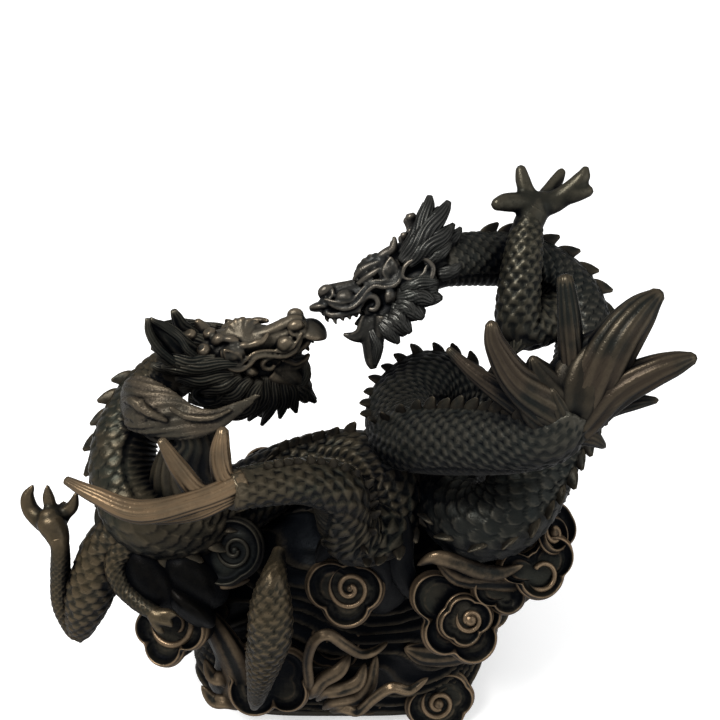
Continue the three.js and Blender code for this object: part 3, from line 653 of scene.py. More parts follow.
def dragon_body(rows, bands, lift, step, around):
    """A tube along the body's line. Its radius is the row's, plus the scales' relief up to the belly's edge
    and the plates' beyond it, with a groove between them and a notched ridge under the crest."""
    s, line = guide(rows, step)
    _, crest, side = axes_along(line, line[:, 4:7])
    signed = ((back_angles(around) + np.pi) % (2 * np.pi) - np.pi)[None, :]
    off_crest = np.abs(signed)
    radius = line[:, 3:4]
    columns, pebble, slope = (banded(line[:, -1], bands, k)[:, None] for k in (1, 2, 3))
    width = 2 * BELLY_ANGLE / columns
    travelled = np.cumsum(np.gradient(s)[:, None] / (slope * width * radius), axis=0)
    tiles = scales(travelled + 0 * signed, signed / width + 0.5 * (columns % 2), pebble)
    size = 1.35 * (width * radius / 7.5) ** 0.7
    bow = ((off_crest - np.pi) / (np.pi - BELLY_ANGLE)) ** 2
    plates = 1.2 * belly_plates(s[:, None], bow) - 0.2
    on_belly = smooth_step(BELLY_ANGLE - 0.03, BELLY_ANGLE + 0.05, off_crest)
    relief = lift * size * tiles * (1 - on_belly) * smooth_step(0.08, 0.20, off_crest) + plates * on_belly
    relief = relief - 0.9 * np.exp(-((off_crest - BELLY_ANGLE) / 0.045) ** 2)
    notches = 1 - 0.35 * np.exp(-(((s / NOTCH_PITCH) % 1 - 0.5) / 0.16) ** 2)[:, None]
    relief = relief + 1.7 * notches * np.exp(-(off_crest / 0.17) ** 4)
    reach = radius * (1 - 0.03 * np.cos(2 * signed)) + relief * np.clip(radius / NECK_RADIUS, 0.4, 1)
    rings = line[:, None, :3] + (reach * np.cos(signed))[..., None] * crest[:, None]
    rings = rings + (reach * np.sin(signed))[..., None] * side[:, None]
    return skin(rings, first=line[0, :3], last=line[-1, :3])


CHEST = [(-82, -32, 148, 11), (-83, -38, 166, 12), (-80, -40, 183, 10), (-76, -41, 197, 7),
         (-80, -38, 207, 5)]
left_skins = [dragon_body(LEFT_BODY, LEFT_SCALES, 1.3, 1.0, 92)]
left_skins.append(lock(CHEST, (0.1, -1, 0.2), wide=1.75, grooves=18, depth=0.08, twist=0.5, step=1.4,
                       around=90, wave=0.08))
right_skins = [dragon_body(RIGHT_BODY, RIGHT_SCALES, 1.35, 1.0, 96)]
left_colours = {"bronze": (0.032, 0.027, 0.0185), "patina": (0.020, 0.021, 0.0165)}
right_colours = {"bronze": (0.0170, 0.0174, 0.0155), "patina": (0.0118, 0.0135, 0.0128),
                 "rubbed": (0.098, 0.089, 0.070)}
casting.append(cast("left_body", left_skins, bronze_and_painted_shade("left_body_bronze", wear=0.5, **left_colours)))
casting.append(cast("right_body", right_skins,
                    bronze_and_painted_shade("right_body_bronze", wear=0.4, **right_colours)))

# ---------------------------------------------------------------- the crests
# A row of horny fins down each back, from the nape to the tail brush, large on the neck and small beyond it.
# Each is a hooked blade that leans back, set so close to the next that their feet join.
LEFT_FINS = [(0, 8.2, 4.8), (5, 6.8, 4.2)]  # first row of the line, pitch, height
RIGHT_FINS = [(0, 8.6, 4.6), (6, 8.0, 4.4), (8, 7.4, 3.2), (11, 6.8, 4.4), (17, 7.4, 4.2)]
FIN_STEP = 0.9  # millimetres between the places where a fin may stand
FIN_RINGS, FIN_AROUND = 8, 12
FIN_THICKNESS = 8.5


def fin_shape():
    """One fin, in shares of its pitch and height: lens sections that lean back as they rise, and whose length
    shrinks as sqrt(1 - v^2), so that its end is round."""
    v = np.linspace(0, 1, FIN_RINGS)[:, None]
    turn = angles(FIN_AROUND)[None, :]
    long = 0.56 * np.sqrt(1 - 0.99 * v ** 2.2)
    thick = 0.19 * (1 - 0.85 * v ** 1.2) * np.sign(np.sin(turn)) * np.abs(np.sin(turn)) ** 1.2
    x = 0.55 * v ** 2 + long * np.cos(turn)
    return np.stack([x, thick + 0 * x, v + 0 * x - 0.30 * (1 - v)], -1)


def crest_fins(rows, bands, first, last):
    """Fins along the crest of a body's line, each a little taller or shorter than the next."""
    s, line = guide(rows, FIN_STEP)
    along, crest, side = axes_along(line, line[:, 4:7])
    pitch = banded(line[:, -1], bands, 1) * np.clip(line[:, 3] / NECK_RADIUS, 0.6, 1.1)
    count = np.cumsum(FIN_STEP / pitch)
    places = np.searchsorted(count, np.arange(count[-1]) + 0.3)
    places = places[(places > first * len(s)) & (places < last * len(s))]
    high = banded(line[:, -1], bands, 2)
    shape = fin_shape()
    fins = []
    for k, place in enumerate(places):
        uneven = 1 + 0.14 * np.sin(k * 2.4) + 0.06 * np.sin(k * 5.3)
        size = np.clip(line[place, 3] / NECK_RADIUS, 0.6, 1.1) * uneven
        root = line[place, :3] + crest[place] * (line[place, 3] * 0.97 + 1.5)
        fin = root + shape[..., :1] * pitch[place] * along[place]
        fin = fin + shape[..., 2:] * high[place] * size * crest[place]
        fins.append(skin(fin - shape[..., 1:2] * FIN_THICKNESS * size * side[place]))
    return fins


casting.append(cast("left_crest", crest_fins(LEFT_BODY, LEFT_FINS, 0.05, 0.97),
                    bronze_and_painted_shade("left_crest_bronze", wear=0.6)))
casting.append(cast("right_crest", crest_fins(RIGHT_BODY, RIGHT_FINS, 0.05, 0.96),
                    bronze_and_painted_shade("right_crest_bronze", wear=0.4)))

# ---------------------------------------------------------------- the limbs
# Short strong legs in small scales, with three to five blunt claws on all but the front leg, and hair at the
# raised elbows. The left dragon lifts one hand and rests the other on a scroll; the right one lifts a hand to
# the sky.
LIMBS = {  # x, y, z, radius from the body to the palm, scales round it, and how like pebbles they are
    "left_raised": ([(-110, -46, 149, 10), (-127, -50, 136, 10.5), (-134, -56, 121, 11.5),
                     (-139, -61, 109, 11), (-143, -65, 98, 8.5), (-147, -66, 88, 5.6), (-151, -64, 95, 5.2),
                     (-153, -62, 107, 4.9), (-152, -58, 121, 4.5), (-150, -54, 136, 4.5),
                     (-151, -51, 142, 4.5)], 9, 0.5,
                    (0.3, -1, 0.3), 1.4),
    "right_raised": ([(106, 24, 230, 12), (94, 14, 229, 11.5), (79, 4, 231, 10.5), (77, 8, 244, 10),
                      (79, 19, 264, 8.5), (82, 29, 278, 6.5), (84, 31, 282, 7)], 9, 1.0),
    "left_resting": ([(-108, -50, 148, 8), (-120, -60, 136, 5.6), (-118, -67, 126, 4.4),
                      (-110, -73, 121, 4.0), (-103, -77, 119, 3.6), (-98, -79, 118, 3.2)], 8, 0.8),
    "front_leg": ([(-55, -90, 57, 2.5), (-53, -91, 67, 4.2), (-50, -91, 82, 6), (-46, -91, 103, 8.4),
                   (-43, -90, 117, 9.4), (-42, -87, 130, 9.2), (-41, -83, 140, 7.6), (-40, -78, 146, 5.4),
                   (-39, -64, 147, 3)], 9, 0.2, (0.3, -1, 0.3), 1.7),
    "left_hind": ([(-36, -2, 134, 11), (-44, 22, 124, 10), (-48, 44, 110, 8), (-42, 58, 98, 6.5),
                   (-38, 62, 88, 6.5)], 11, 0.5),
    "right_hind": ([(62, 12, 170, 12), (76, 32, 166, 11), (84, 50, 152, 8), (80, 56, 134, 6.5),
                    (76, 58, 122, 6.5)], 11, 0.5),
}
HANDS = [  # each hand's palm, then its toes, from root to tip
    [[(-150, -56, 132, 2.0), (-150, -53, 138, 4.4), (-152, -49, 143, 6.0), (-155, -46, 147, 6.4),
      (-156, -44, 149, 5)],
     [(-155, -46, 143, 5.0), (-161, -43, 145, 4.6), (-167, -39, 149, 4.0), (-168, -36, 155, 3.2),
      (-165, -34, 160, 1.2)],
     [(-155, -45, 145, 4.6), (-156, -40, 151, 3.2), (-157, -37, 156, 2.8), (-157, -35, 161, 1.2)],
     [(-154, -45, 143, 4.8), (-150, -40, 147, 3.8), (-146, -38, 150, 3.2), (-143, -36, 157, 1.2)],
     [(-155, -43, 143, 4.0), (-153, -38, 146, 3.0), (-151, -36, 150, 1.6)]],
    [[(80, 22, 266, 4), (81, 26, 273, 6.4), (84, 31, 281, 7.4), (88, 33, 284, 5.5)],
     [(84, 31, 282, 6), (76, 30, 285, 4.8), (69, 28, 286, 4.3), (65, 26, 286, 3.2)],
     [(84, 33, 283, 5), (80, 34, 289, 3.9), (78, 37, 294, 3.5), (77, 39, 298, 2.6)],
     [(88, 36, 282, 4.5), (93, 42, 286, 3.8), (97, 46, 290, 3.3), (99, 48, 293, 2.4)],
     [(86, 32, 282, 6), (95, 33, 285, 5.2), (102, 34, 291, 4.4), (106, 35, 296, 3.6), (107, 36, 299, 2.2)],
     [(98, 33, 287, 4.6), (104, 32, 289, 4.0), (109, 32, 290, 2.8)]],
    [[(-105, -76, 120, 2.0), (-100, -79, 118, 3.8), (-96, -81, 118, 2.6)],
     [(-99, -80, 118, 3.6), (-94, -82, 117, 2.6), (-91, -83, 114, 1.0)],
     [(-99, -79, 118, 3.4), (-93, -80, 120, 2.4), (-89, -80, 119, 1.0)],
     [(-100, -80, 117, 3.2), (-98, -83, 113, 2.2), (-96, -84, 110, 1.0)]],
    [[(-40, 60, 94, 6.5), (-38, 62, 88, 7), (-37, 66, 84, 5)],
     [(-38, 62, 87, 5), (-30, 68, 84, 3.6), (-24, 72, 82, 3), (-20, 73, 78, 1.2)],
     [(-38, 62, 87, 5), (-36, 72, 83, 3.6), (-34, 77, 81, 3), (-33, 79, 77, 1.2)],
     [(-38, 62, 87, 5), (-43, 72, 84, 3.6), (-46, 76, 81, 3), (-47, 78, 77, 1.2)],
     [(-38, 62, 87, 5), (-48, 66, 86, 3.6), (-54, 69, 84, 3), (-57, 70, 80, 1.2)]],
    [[(78, 58, 128, 6.5), (76, 60, 122, 7), (76, 64, 118, 5)],
     [(76, 60, 121, 5), (84, 64, 118, 3.6), (90, 66, 116, 3), (94, 66, 112, 1.2)],
     [(76, 60, 121, 5), (80, 69, 117, 3.6), (83, 74, 115, 3), (85, 76, 111, 1.2)],
     [(76, 60, 121, 5), (72, 70, 117, 3.6), (70, 75, 115, 3), (69, 77, 111, 1.2)],
     [(76, 60, 121, 5), (66, 65, 119, 3.6), (61, 69, 117, 3), (58, 70, 113, 1.2)]],
]
LIMB_SLOPE = 0.52  # a row's length over a scale's width
LIMB_STEP, LIMB_AROUND = 0.9, 60


def limb_tube(rows, columns, pebble, facing=(0.3, -1, 0.3), lift=1.0):
    """A limb's tube with scales all round that fade out at the wrist."""
    s, line = guide(rows, LIMB_STEP)
    _, crest, side = axes_along(line, facing)
    turn = angles(LIMB_AROUND)[None, :]
    width = 2 * np.pi / columns
    radius = line[:, 3:4]
    travelled = np.cumsum(np.gradient(s)[:, None] / (LIMB_SLOPE * width * radius), axis=0)
    fade = smooth_step(1.0, 0.84, s / s[-1])[:, None] * smooth_step(0, 0.10, s / s[-1])[:, None]
    tiles = lift * scales(travelled + 0 * turn, turn / width + 0 * s[:, None], pebble) * fade
    reach = radius + tiles * np.clip(radius / 8, 0.4, 1.2)
    rings = line[:, None, :3] + (reach * np.cos(turn))[..., None] * crest[:, None]
    rings = rings + (reach * np.sin(turn))[..., None] * side[:, None]
    return skin(rings)


def fused(skins, voxel, rounds):
    """Skins melted into one by a voxel remesh, and smoothed, so that no seam is left between them."""
    blank = bpy.data.objects.new("wax", mesh_of("wax", skins))
    bpy.context.scene.collection.objects.link(blank)
    melt = blank.modifiers.new("melt", "REMESH")
    melt.mode, melt.voxel_size = "VOXEL", voxel * MILLIMETRE
    ease = blank.modifiers.new("ease", "SMOOTH")
    ease.factor, ease.iterations = 0.5, rounds
    solid = bpy.data.meshes.new_from_object(blank.evaluated_get(bpy.context.evaluated_depsgraph_get()))
    points = np.empty(len(solid.vertices) * 3)
    solid.vertices.foreach_get("co", points)
    corners = np.empty(len(solid.loops), np.int32)
    solid.loops.foreach_get("vertex_index", corners)
    sizes = np.empty(len(solid.polygons), np.int32)
    solid.polygons.foreach_get("loop_total", sizes)
    starts = np.concatenate([[0], np.cumsum(sizes)[:-1]])
    quads = corners[(starts[sizes == 4][:, None] + np.arange(4))]
    caps = corners[(starts[sizes == 3][:, None] + np.arange(3))]
    bpy.data.objects.remove(blank)
    bpy.data.meshes.remove(solid)
    return points.reshape(-1, 3) / MILLIMETRE + MIDDLE, quads, caps


def rounded_tip(rows):
    """Rows with a short blunt end added, so that a lock closes as a dome."""
    rows = np.array(rows, float)
    way_on = unit(rows[-1, :3] - rows[-2, :3])
    end = rows[-1, 3]
    more = [(*(rows[-1, :3] + way_on * end * a), end * b) for a, b in ((0.55, 0.80), (0.9, 0.35))]
    return np.vstack([rows, more])


def hand(parts):
    """The palm and the toes as blunt locks, melted together."""
    skins = [lock(rounded_tip(rows), (0.2, -1, 0.3), wide=1.05, grooves=3, depth=0.04, step=0.8,
                  around=24) for rows in parts]
    return fused(skins, 1.05, 3)


def elbow_spurs(rows):
    """Three small flames of hair that sweep back from the sharpest bend of a limb."""
    line = np.array(rows, float)
    before, after = unit(line[1:-1, :3] - line[:-2, :3]), unit(line[2:, :3] - line[1:-1, :3])
    bend = 1 + int(np.argmin((before * after).sum(1)))
    out = unit(before[bend - 1] - after[bend - 1])
    root, size = line[bend], line[bend, 3]
    spread = np.cross(out, before[bend - 1])
    return [lock([(*(root[:3] - out * 2 + spread * side * size * 0.3), size * 0.50),
                  (*(root[:3] + out * size * 0.7 + spread * side * size * 0.5), size * 0.42),
                  (*(root[:3] + out * size * 1.3 + spread * side * size * 0.6), size * 0.14)],
                 spread, wide=1.2, grooves=7, depth=0.25, twist=0.5, step=0.7, around=24)
            for side in (-1, 0, 1)]


left_limbs = [limb_tube(*LIMBS[name]) for name in ("left_raised", "left_resting", "front_leg", "left_hind")]
left_limbs += [hand(HANDS[k]) for k in (0, 2, 3)] + elbow_spurs(LIMBS["left_raised"][0])
right_limbs = [limb_tube(*LIMBS[name]) for name in ("right_raised", "right_hind")]
right_limbs += [hand(HANDS[k]) for k in (1, 4)] + elbow_spurs(LIMBS["right_raised"][0])
left_limb_colours = {"bronze": (0.033, 0.0265, 0.0165), "patina": (0.022, 0.020, 0.015),
                     "rubbed": (0.11, 0.082, 0.050)}
casting.append(cast("left_limbs", left_limbs,
                    bronze_and_painted_shade("left_limb_bronze", wear=0.6, **left_limb_colours)))
right_limb_colours = {"bronze": (0.019, 0.0185, 0.0145), "patina": (0.014, 0.0145, 0.0125),
                      "rubbed": (0.085, 0.075, 0.054)}
casting.append(cast("right_limbs", right_limbs,
                    bronze_and_painted_shade("right_limb_bronze", wear=0.5, **right_limb_colours)))

# ---------------------------------------------------------------- the tail brushes
# Each tail ends in a brush of long flame-shaped locks, combed with grooves from root to tip. The right
# dragon's sweeps up and outward in front of its neck; the left one's curls low across its chest.
RIGHT_BRUSH = [  # locks, and how wide each is
    ([(79, -91, 250, 8), (78, -87, 266, 5.2), (76, -79, 286, 4.4), (74, -72, 299, 3.0)], 1.0),
    ([(80, -90, 250, 9), (86, -88, 268, 8.8), (93, -85, 283, 7.6), (100, -81, 292, 5.6),
      (105, -79, 297, 2.8)], 1.15),
    ([(80, -91, 250, 9), (91, -91, 263, 7.4), (104, -92, 273, 5.6), (112, -92, 277, 4.2),
      (117, -92, 279, 2.4)], 1.1),
    ([(80, -91, 250, 7), (92, -90, 256, 5.0), (102, -90, 258, 3.2), (110, -89, 258, 1.4)], 1.0),
    ([(77, -93, 248, 7), (82, -94, 247, 5.2), (87, -95, 245, 3.8), (92, -95, 241, 1.6)], 1.0),
    ([(78, -91, 250, 9), (66, -90, 260, 8.0), (56, -88, 269, 5.8), (49, -85, 280, 3.8),
      (47, -83, 287, 2.2)], 1.1),
    ([(72, -89, 248, 7), (58, -82, 253, 5.0), (44, -74, 260, 3.2), (35, -68, 266, 1.6)], 1.0),
    ([(78, -88, 248, 11), (82, -86, 262, 12), (87, -83, 274, 9), (91, -82, 283, 4)], 1.2),
    ([(76, -88, 250, 11), (70, -88, 259, 10), (66, -87, 267, 6), (63, -86, 274, 2)], 1.3),
    ([(74, -93, 250, 6), (73, -94, 258, 5.0), (70, -93, 265, 2.4)], 1.0),
    ([(80, -86, 244, 10), (72, -88, 250, 10), (68, -88, 256, 7)], 1.2),
]
LEFT_BRUSH = [
    ([(-46, -93, 220, 5.4), (-62, -103, 220, 4.6), (-82, -112, 223, 4.6), (-99, -109, 229, 3.2),
      (-110, -104, 231, 1.8)], 1.0),
    ([(-50, -95, 217, 6), (-62, -99, 219, 4.8), (-70, -95, 229, 3.8), (-76, -91, 239, 2.0)], 1.0),
    ([(-49, -94, 218, 6), (-54, -93, 223, 4.6), (-55, -88, 231, 4.2), (-54, -84, 238, 2.6)], 1.0),
    ([(-50, -97, 217, 4.0), (-64, -105, 215, 3.2), (-80, -110, 218, 2.4), (-92, -109, 223, 1.0)], 1.0),
]


def brush(table, facing):
    """Fleshy locks with a few soft grooves each, which turn slowly towards the tip."""
    return [lock(rounded_tip(rows), facing, wide=wide, grooves=11, depth=0.085, twist=0.4 + 0.2 * (k % 3),
                 step=1.2, around=60, wave=0.06)
            for k, (rows, wide) in enumerate(table)]


OUTER_LOCKS = 7  # the outer locks; the rest are the root between them, painted darker as the shade there
right_locks = brush(RIGHT_BRUSH, (0, -1, 0.5))
casting.append(cast("right_brush", right_locks[:OUTER_LOCKS],
                    bronze_and_painted_shade("right_brush_bronze", wear=0.5, bronze=(0.032, 0.025, 0.0185))))
# Painted shade: the root locks between the outer ones are coloured darker and less worn.
casting.append(cast("right_brush_root", right_locks[OUTER_LOCKS:],
                    bronze_and_painted_shade("right_brush_root_painted_shade", wear=0.3, bronze=(0.0165, 0.0145, 0.0115))))
casting.append(cast("left_brush", brush(LEFT_BRUSH, (0, -1, 0.6)),
                    bronze_and_painted_shade("left_brush_bronze", wear=0.6, bronze=(0.135, 0.092, 0.054),
                                  patina=(0.075, 0.055, 0.035))))

# ---------------------------------------------------------------- the neck flame
# A broad flat flame that springs from the left dragon's shoulder and sweeps forward under its jaw. It is
# thicker at the root, creased on its face and sharp along its lower edge.
NECK_FLAME = [(-114, -20, 204, 9), (-106, -30, 211, 13), (-94, -38, 212, 12.5), (-80, -42, 209, 9),
              (-67, -45, 212, 5.6), (-56, -46, 219, 3.4), (-45, -46, 227, 1.2)]
FLAME_FOLDS = [
    [(-110, -32, 214, 1.6), (-103, -39, 218, 2.4), (-96, -43, 215, 2.2), (-88, -45, 212, 1.0)],
    [(-110, -32, 206, 1.6), (-104, -39, 209, 2.2), (-98, -43, 205, 2.2), (-92, -45, 208, 1.0)],
    [(-106, -34, 199, 1.6), (-101, -39, 201, 2.2), (-93, -43, 199, 2.0), (-86, -45, 203, 0.9)],
    [(-100, -40, 220, 1.4), (-95, -42, 210, 2.0), (-90, -43, 206, 1.8), (-84, -44, 210, 0.9)],
    [(-86, -43, 218, 1.2), (-78, -45, 214, 1.6), (-67, -47, 215, 1.4), (-58, -48, 220, 0.8)],
]
flame = [lock(rounded_tip(NECK_FLAME), (0.1, -0.8, 0.6), wide=1.0, grooves=13, depth=0.20, twist=0.7,
              step=0.7, around=110, flat=0.34, wave=0.5)]
flame += [lock(rounded_tip(rows), (0.1, -0.8, 0.6), wide=1.1, grooves=5, depth=0.3, twist=1.2, step=0.7,
               around=30, wave=0.8) for rows in FLAME_FOLDS]
casting.append(cast("neck_flame", [fused(flame, 0.75, 0)],
                    bronze_and_painted_shade("flame_bronze", wear=0.4, bump=1.0, bronze=(0.060, 0.049, 0.036),
                                  patina=(0.036, 0.033, 0.026))))

# ---------------------------------------------------------------- the heads
# Long-muzzled dragon's heads, mouths open: curled nostrils, heavy brows over round eyes, knobbed horns, and
# a mane and beard of grooved locks. The features were built up in wax and melted into one before casting.
# Head places: x from the skull's base to the nose, y to the dragon's left, z to its brow.
HEADS = {
    "left": {"at": (-85.2, 1.2, 211), "forward": (0.94, 0.063, 0.33), "up": (-0.32, -0.126, 0.94)},
    "right": {"at": (40, 28, 253), "forward": (-0.95, -0.19, -0.25), "up": (-0.25, 0.52, 0.82)},
}
HEAD_MIDDLE = [  # rows, width across and height of the section as shares of the radius
    ([(-12, 0, -3, 8), (-6, 0, -2, 10.5), (2, 0, 0, 12), (11, 0, 0.5, 12.2), (19, 0, 0.5, 11.5),
      (27, 0, 0, 10), (35, 0, -1.5, 8.5), (43, 0, -2.2, 7), (51, 0, -1.5, 6.2), (58, 0, -1, 5.4),
      (63, 0, -1, 3)], 1.0,
     1.0),
    # bridge
    ([(36, 0, 4, 3), (44, 0, 3.5, 3), (52, 0, 4.4, 3), (58, 0, 5.2, 2.6), (62, 0, 4, 1.4)], 1.2, 1.0),
    ([(44, 0, -8, 4), (54, 0, -7.6, 4), (60, 0, -6.6, 3), (64, 0, -5, 1)], 1.7, 0.7),  # gum
    ([(12, 0, -9, 8), (22, 0, -12, 8.6), (32, 0, -14.5, 8), (41, 0, -17.5, 6.6), (47, 0, -21, 4.6),
      (52, 0, -21, 2.8),
      (57, 0, -18.2, 0.8)], 1.15, 1.0),  # lower jaw
    # beard
    ([(40, 0, -17, 6), (43.5, 0, -25, 5.8), (46, 0, -31, 4.6), (47.6, 0, -36, 3.4), (48, 0, -39.5, 1.6)],
     1.25, 1.0),
    ([(18, 0, -5, 8), (30, 0, -8, 8.5), (38, 0, -10, 5.5), (42, 0, -11, 3)], 1.0, 1.0),  # root of the mouth
    ([(30, 0, -10, 3), (38, 0, -11.5, 3), (45, 0, -13.5, 2.6), (50, 0, -15.5, 1.0)], 1.3, 0.7),  # tongue
]
HEAD_PAIRS = [
    # snout pad
    [(54.5, 6.0, -0.6, 1.6), (52.5, 7.0, -0.9, 3.6), (49.5, 7.0, -1.8, 4.2), (46.5, 6.5, -2.6, 2.6)],
    # nostril bulb
    [(61, 3.2, 2.4, 1.6), (60.2, 4.4, 4.6, 2.6), (57.5, 4.8, 5.2, 2.8), (55.0, 4.4, 3.8, 1.6)],
    [(61.6, 4.4, 1.0, 0.8), (58.6, 6.0, 0.6, 1.0), (55.8, 7.0, 1.8, 1.0), (55.0, 6.4, 4.6, 0.8)],
    [(62.5, 3.5, 1.5, 0.7), (59.0, 6.5, -1.0, 1.1), (56.9, 8.0, -3.6, 1.2), (52.8, 9.2, -6.5, 1.3),
     (48.3, 9.6, -7.0, 1.3), (43.5, 9.8, -5.0, 1.3), (39.0, 10.6, -1.9, 1.3), (35.0, 11.8, -0.7, 1.3),
     (31.1, 12.6, -2.6, 1.3), (26.9, 13.2, -3.5, 1.3), (23.3, 13.6, -2.1, 1.2), (20.6, 13.6, 1.6, 1.2),
     (17.5, 13.8, 4.2, 1.1), (12.6, 13.8, 5.2, 1.0), (7.3, 13.6, 5.6, 0.7)],  # lip line
    [(60.5, 6.5, 1.2, 0.6), (56.5, 8.6, -1.4, 0.8), (53.0, 10.0, -3.4, 0.8), (48.5, 10.0, -4.0, 0.8),
     (44.5, 9.2, -2.2, 0.9), (39.5, 9.8, 0.6, 0.9), (35.0, 11.0, 1.8, 0.9), (30.0, 12.2, 0.2, 0.9),
     (26.5, 12.8, -1.0, 0.9), (22.5, 12.8, 0.5, 0.8)],
    [(62.1, 3.4, -4.6, 1.3), (59.7, 4.6, -7.2, 1.9), (55.7, 5.6, -8.4, 1.9), (49.8, 7.0, -9.0, 1.9),
     (44.9, 8.0, -9.4, 1.7)],
    [(31, 8, 4.2, 3.4), (26, 9.2, 4.6, 4.6), (20, 9.4, 5.4, 3.4)],  # eye socket
    # lids
    [(27.2, 12.6, -0.4, 0.7), (29.0, 12.4, 2.4, 0.9), (28.4, 12.2, 5.8, 0.9), (23.4, 11.8, 10.2, 0.8)],
    [(27.2, 12.6, -0.4, 0.7), (23.8, 12.8, 0.6, 0.9), (22.4, 12.8, 4.4, 0.9), (23.4, 11.8, 10.2, 0.8)],
    [(31, 9.6, -6.4, 2.6), (29.9, 10.0, -7.0, 4.6), (27.2, 9.8, -9.0, 3.2)],  # cheek ball
    [(44.6, 8.4, -8.2, 1.0), (42.6, 9.2, -5.6, 1.5), (39.4, 10.0, -4.4, 1.6), (36.4, 10.2, -6.2, 1.6),
     (36.2, 10.0, -9.4, 1.6), (38.6, 9.6, -11.4, 1.5),
     (41.2, 9.2, -10.2, 1.1)],  # curl at the mouth's corner
    [(22, 8, -5, 5.4), (14, 9.6, -5, 6.4), (6, 9.4, -4, 5.4)],  # jaw muscle
    [(36, 5, -10, 4.4), (40.5, 5, -11, 3.8), (43.5, 4.5, -11.5, 2.2)],  # skin at the mouth's corner
    # lower lip
    [(44.6, 4.6, -12.4, 1.4), (47.0, 4.2, -16.0, 1.5), (49.4, 3.4, -19.0, 1.3), (53.5, 1.6, -19.6, 0.9)],
    [(36, 7, -16, 4), (38, 7.4, -20, 3.4), (41, 6.4, -25, 2.4), (44, 5, -30, 1.4)],
]
# what only the right head has: a long brow of lobes, a spike, three horn knobs and an open ear
RIGHT_PAIRS = [
    [(42.6, 6.0, 6.4, 1.4), (38.6, 7.6, 8.6, 2.1), (33.6, 8.6, 9.4, 2.1), (29.4, 9.4, 9.8, 1.6),
     (26, 9.6, 10.5, 1.0)],
    [(42.6, 7.4, 2.8, 1.2), (38.0, 9.4, 4.4, 1.8), (33.5, 10.6, 5.6, 1.6), (29.8, 11.2, 6.6, 1.0)],
    [(31, 7.4, 10.6, 2.2), (26, 8.6, 12.4, 2.6), (21.5, 9, 13.6, 2.2), (19.2, 8.6, 16.6, 1.6),
     (18.4, 8.2, 19.4, 0.9)],
    [(14.4, 5, 12, 2.6), (13.8, 6, 16, 1.9), (13.4, 6.8, 18.6, 2.1), (13.2, 7.2, 20, 1.5)],
    [(8.4, 4.4, 12, 3.4), (7.8, 5.4, 19, 2.5), (7.6, 6.0, 24, 2.4), (7.4, 6.4, 26.4, 2.9),
     (7.3, 6.6, 28, 1.8)],
    [(10.6, 5, 14, 2.4), (9.8, 6.4, 19, 2.0), (9.6, 7, 21, 1.4)],
    [(21.4, 14.4, -1.0, 0.8), (18.8, 15.2, 3.4, 1.1), (14.0, 15.4, 5.2, 1.2), (8.4, 15.4, 4.0, 1.3),
     (6.0, 15.6, -1.0, 1.4), (8.6, 15.4, -6.0, 1.4), (12.5, 14.6, -10.0, 1.0)],
    [(21.4, 14.4, -1.0, 0.8), (17.0, 14.8, -3.6, 1.1), (11.6, 15.0, -2.8, 1.1), (8.6, 15.0, 0.6, 0.8)],
]
# crown
RIGHT_SINGLES = [[(36, 0, 6, 1), (33, 0, 8.4, 2.4), (27, 0, 11.5, 3.6), (20, 0, 13, 3.8), (12, 0, 13, 3),
                  (4, 0, 12, 2)]]
RIGHT_RIBS = [((30, 7.2, 8.4), (x, y, z)) for x, y, z in (
    (26.5, 5.8, 13.4), (29.6, 5.4, 15.0), (33.0, 5.0, 15.2), (36.4, 4.7, 14.0), (39.4, 4.6, 12.0),
    (41.6, 4.8, 9.4), (43.4, 5.4, 6.4))]
RIGHT_LIP = [(55, 0, -2.5, 4), (60, 0, -2.2, 6), (64, 0, -1.4, 6.4), (67, 0, -1.0, 5.0), (69, 0, -0.8, 3.0)]
LEFT_SINGLES = [  # what only the left head has: four knobs in a cross, a lumpy ridge and a low brow
    [(14.6, -7.4, 7, 3.6), (13.8, -8.8, 10.4, 3.2), (13.5, -9.4, 12.4, 3.6), (13.3, -9.8, 14.4, 2.4)],
    [(12.5, 7, 9, 4.4), (11.8, 8.6, 13.5, 3.2), (11.4, 9.2, 17.6, 1.5)],
    [(8.8, 0, 10, 4.4), (8.0, 0, 15, 3.4), (7.8, 0, 17, 3.5), (7.7, 0, 18.6, 2.3)],
    [(17.6, 0, 9, 4.4), (17.1, 0, 12.4, 3.4), (16.9, 0, 14.2, 3.5), (16.8, 0, 15.8, 2.3)],
    [(17.5, -4.5, 10, 2.4), (21.4, -5, 12.2, 2.9), (24.4, -5.4, 11.4, 2.0), (27.4, -6, 9.8, 2.4),
     (30, -6.6, 8, 1.6)],
]
LEFT_BROW = [(27.5, 8.6, 5.6, 1.2), (31.4, 9, 6.8, 2.0), (35.0, 9.2, 6.0, 1.7), (38.4, 8.8, 5.6, 2.0),
             (41.6, 8, 5.1, 1.6), (44.7, 5, 6.0, 1.0)]
LEFT_SINGLES += [[(x, side * y, z, radius) for x, y, z, radius in LEFT_BROW] for side in (-1, 1)]
LEFT_RIBS = [((31, -4.5, 4.5), (x, y, z)) for x, y, z in (
    (24.6, 3.0, 11.2), (27.4, 4.4, 13.0), (30.4, 5.0, 13.6), (33.6, 5.2, 13.2), (36.6, 5.0, 11.4),
    (39.2, 4.6, 8.8), (41.4, 3.6, 5.4), (42.2, 1.4, 2.6))]
LEFT_LIP = [(57, 0, -1, 4.5), (61.5, 0, -2.5, 7), (65.5, 0, -5, 7.6), (68, 0, -8, 5.4),
            (68.4, 0, -10.6, 2.4)]
HEAD_TEETH = [(62, 3, -7, 3.2), (58.5, 5, -9, 3.6), (54.5, 6.2, -9.6, 2.4), (51, 6.8, -9.8, 2.6),
              (47.5, 7.2, -10, 2.4)]
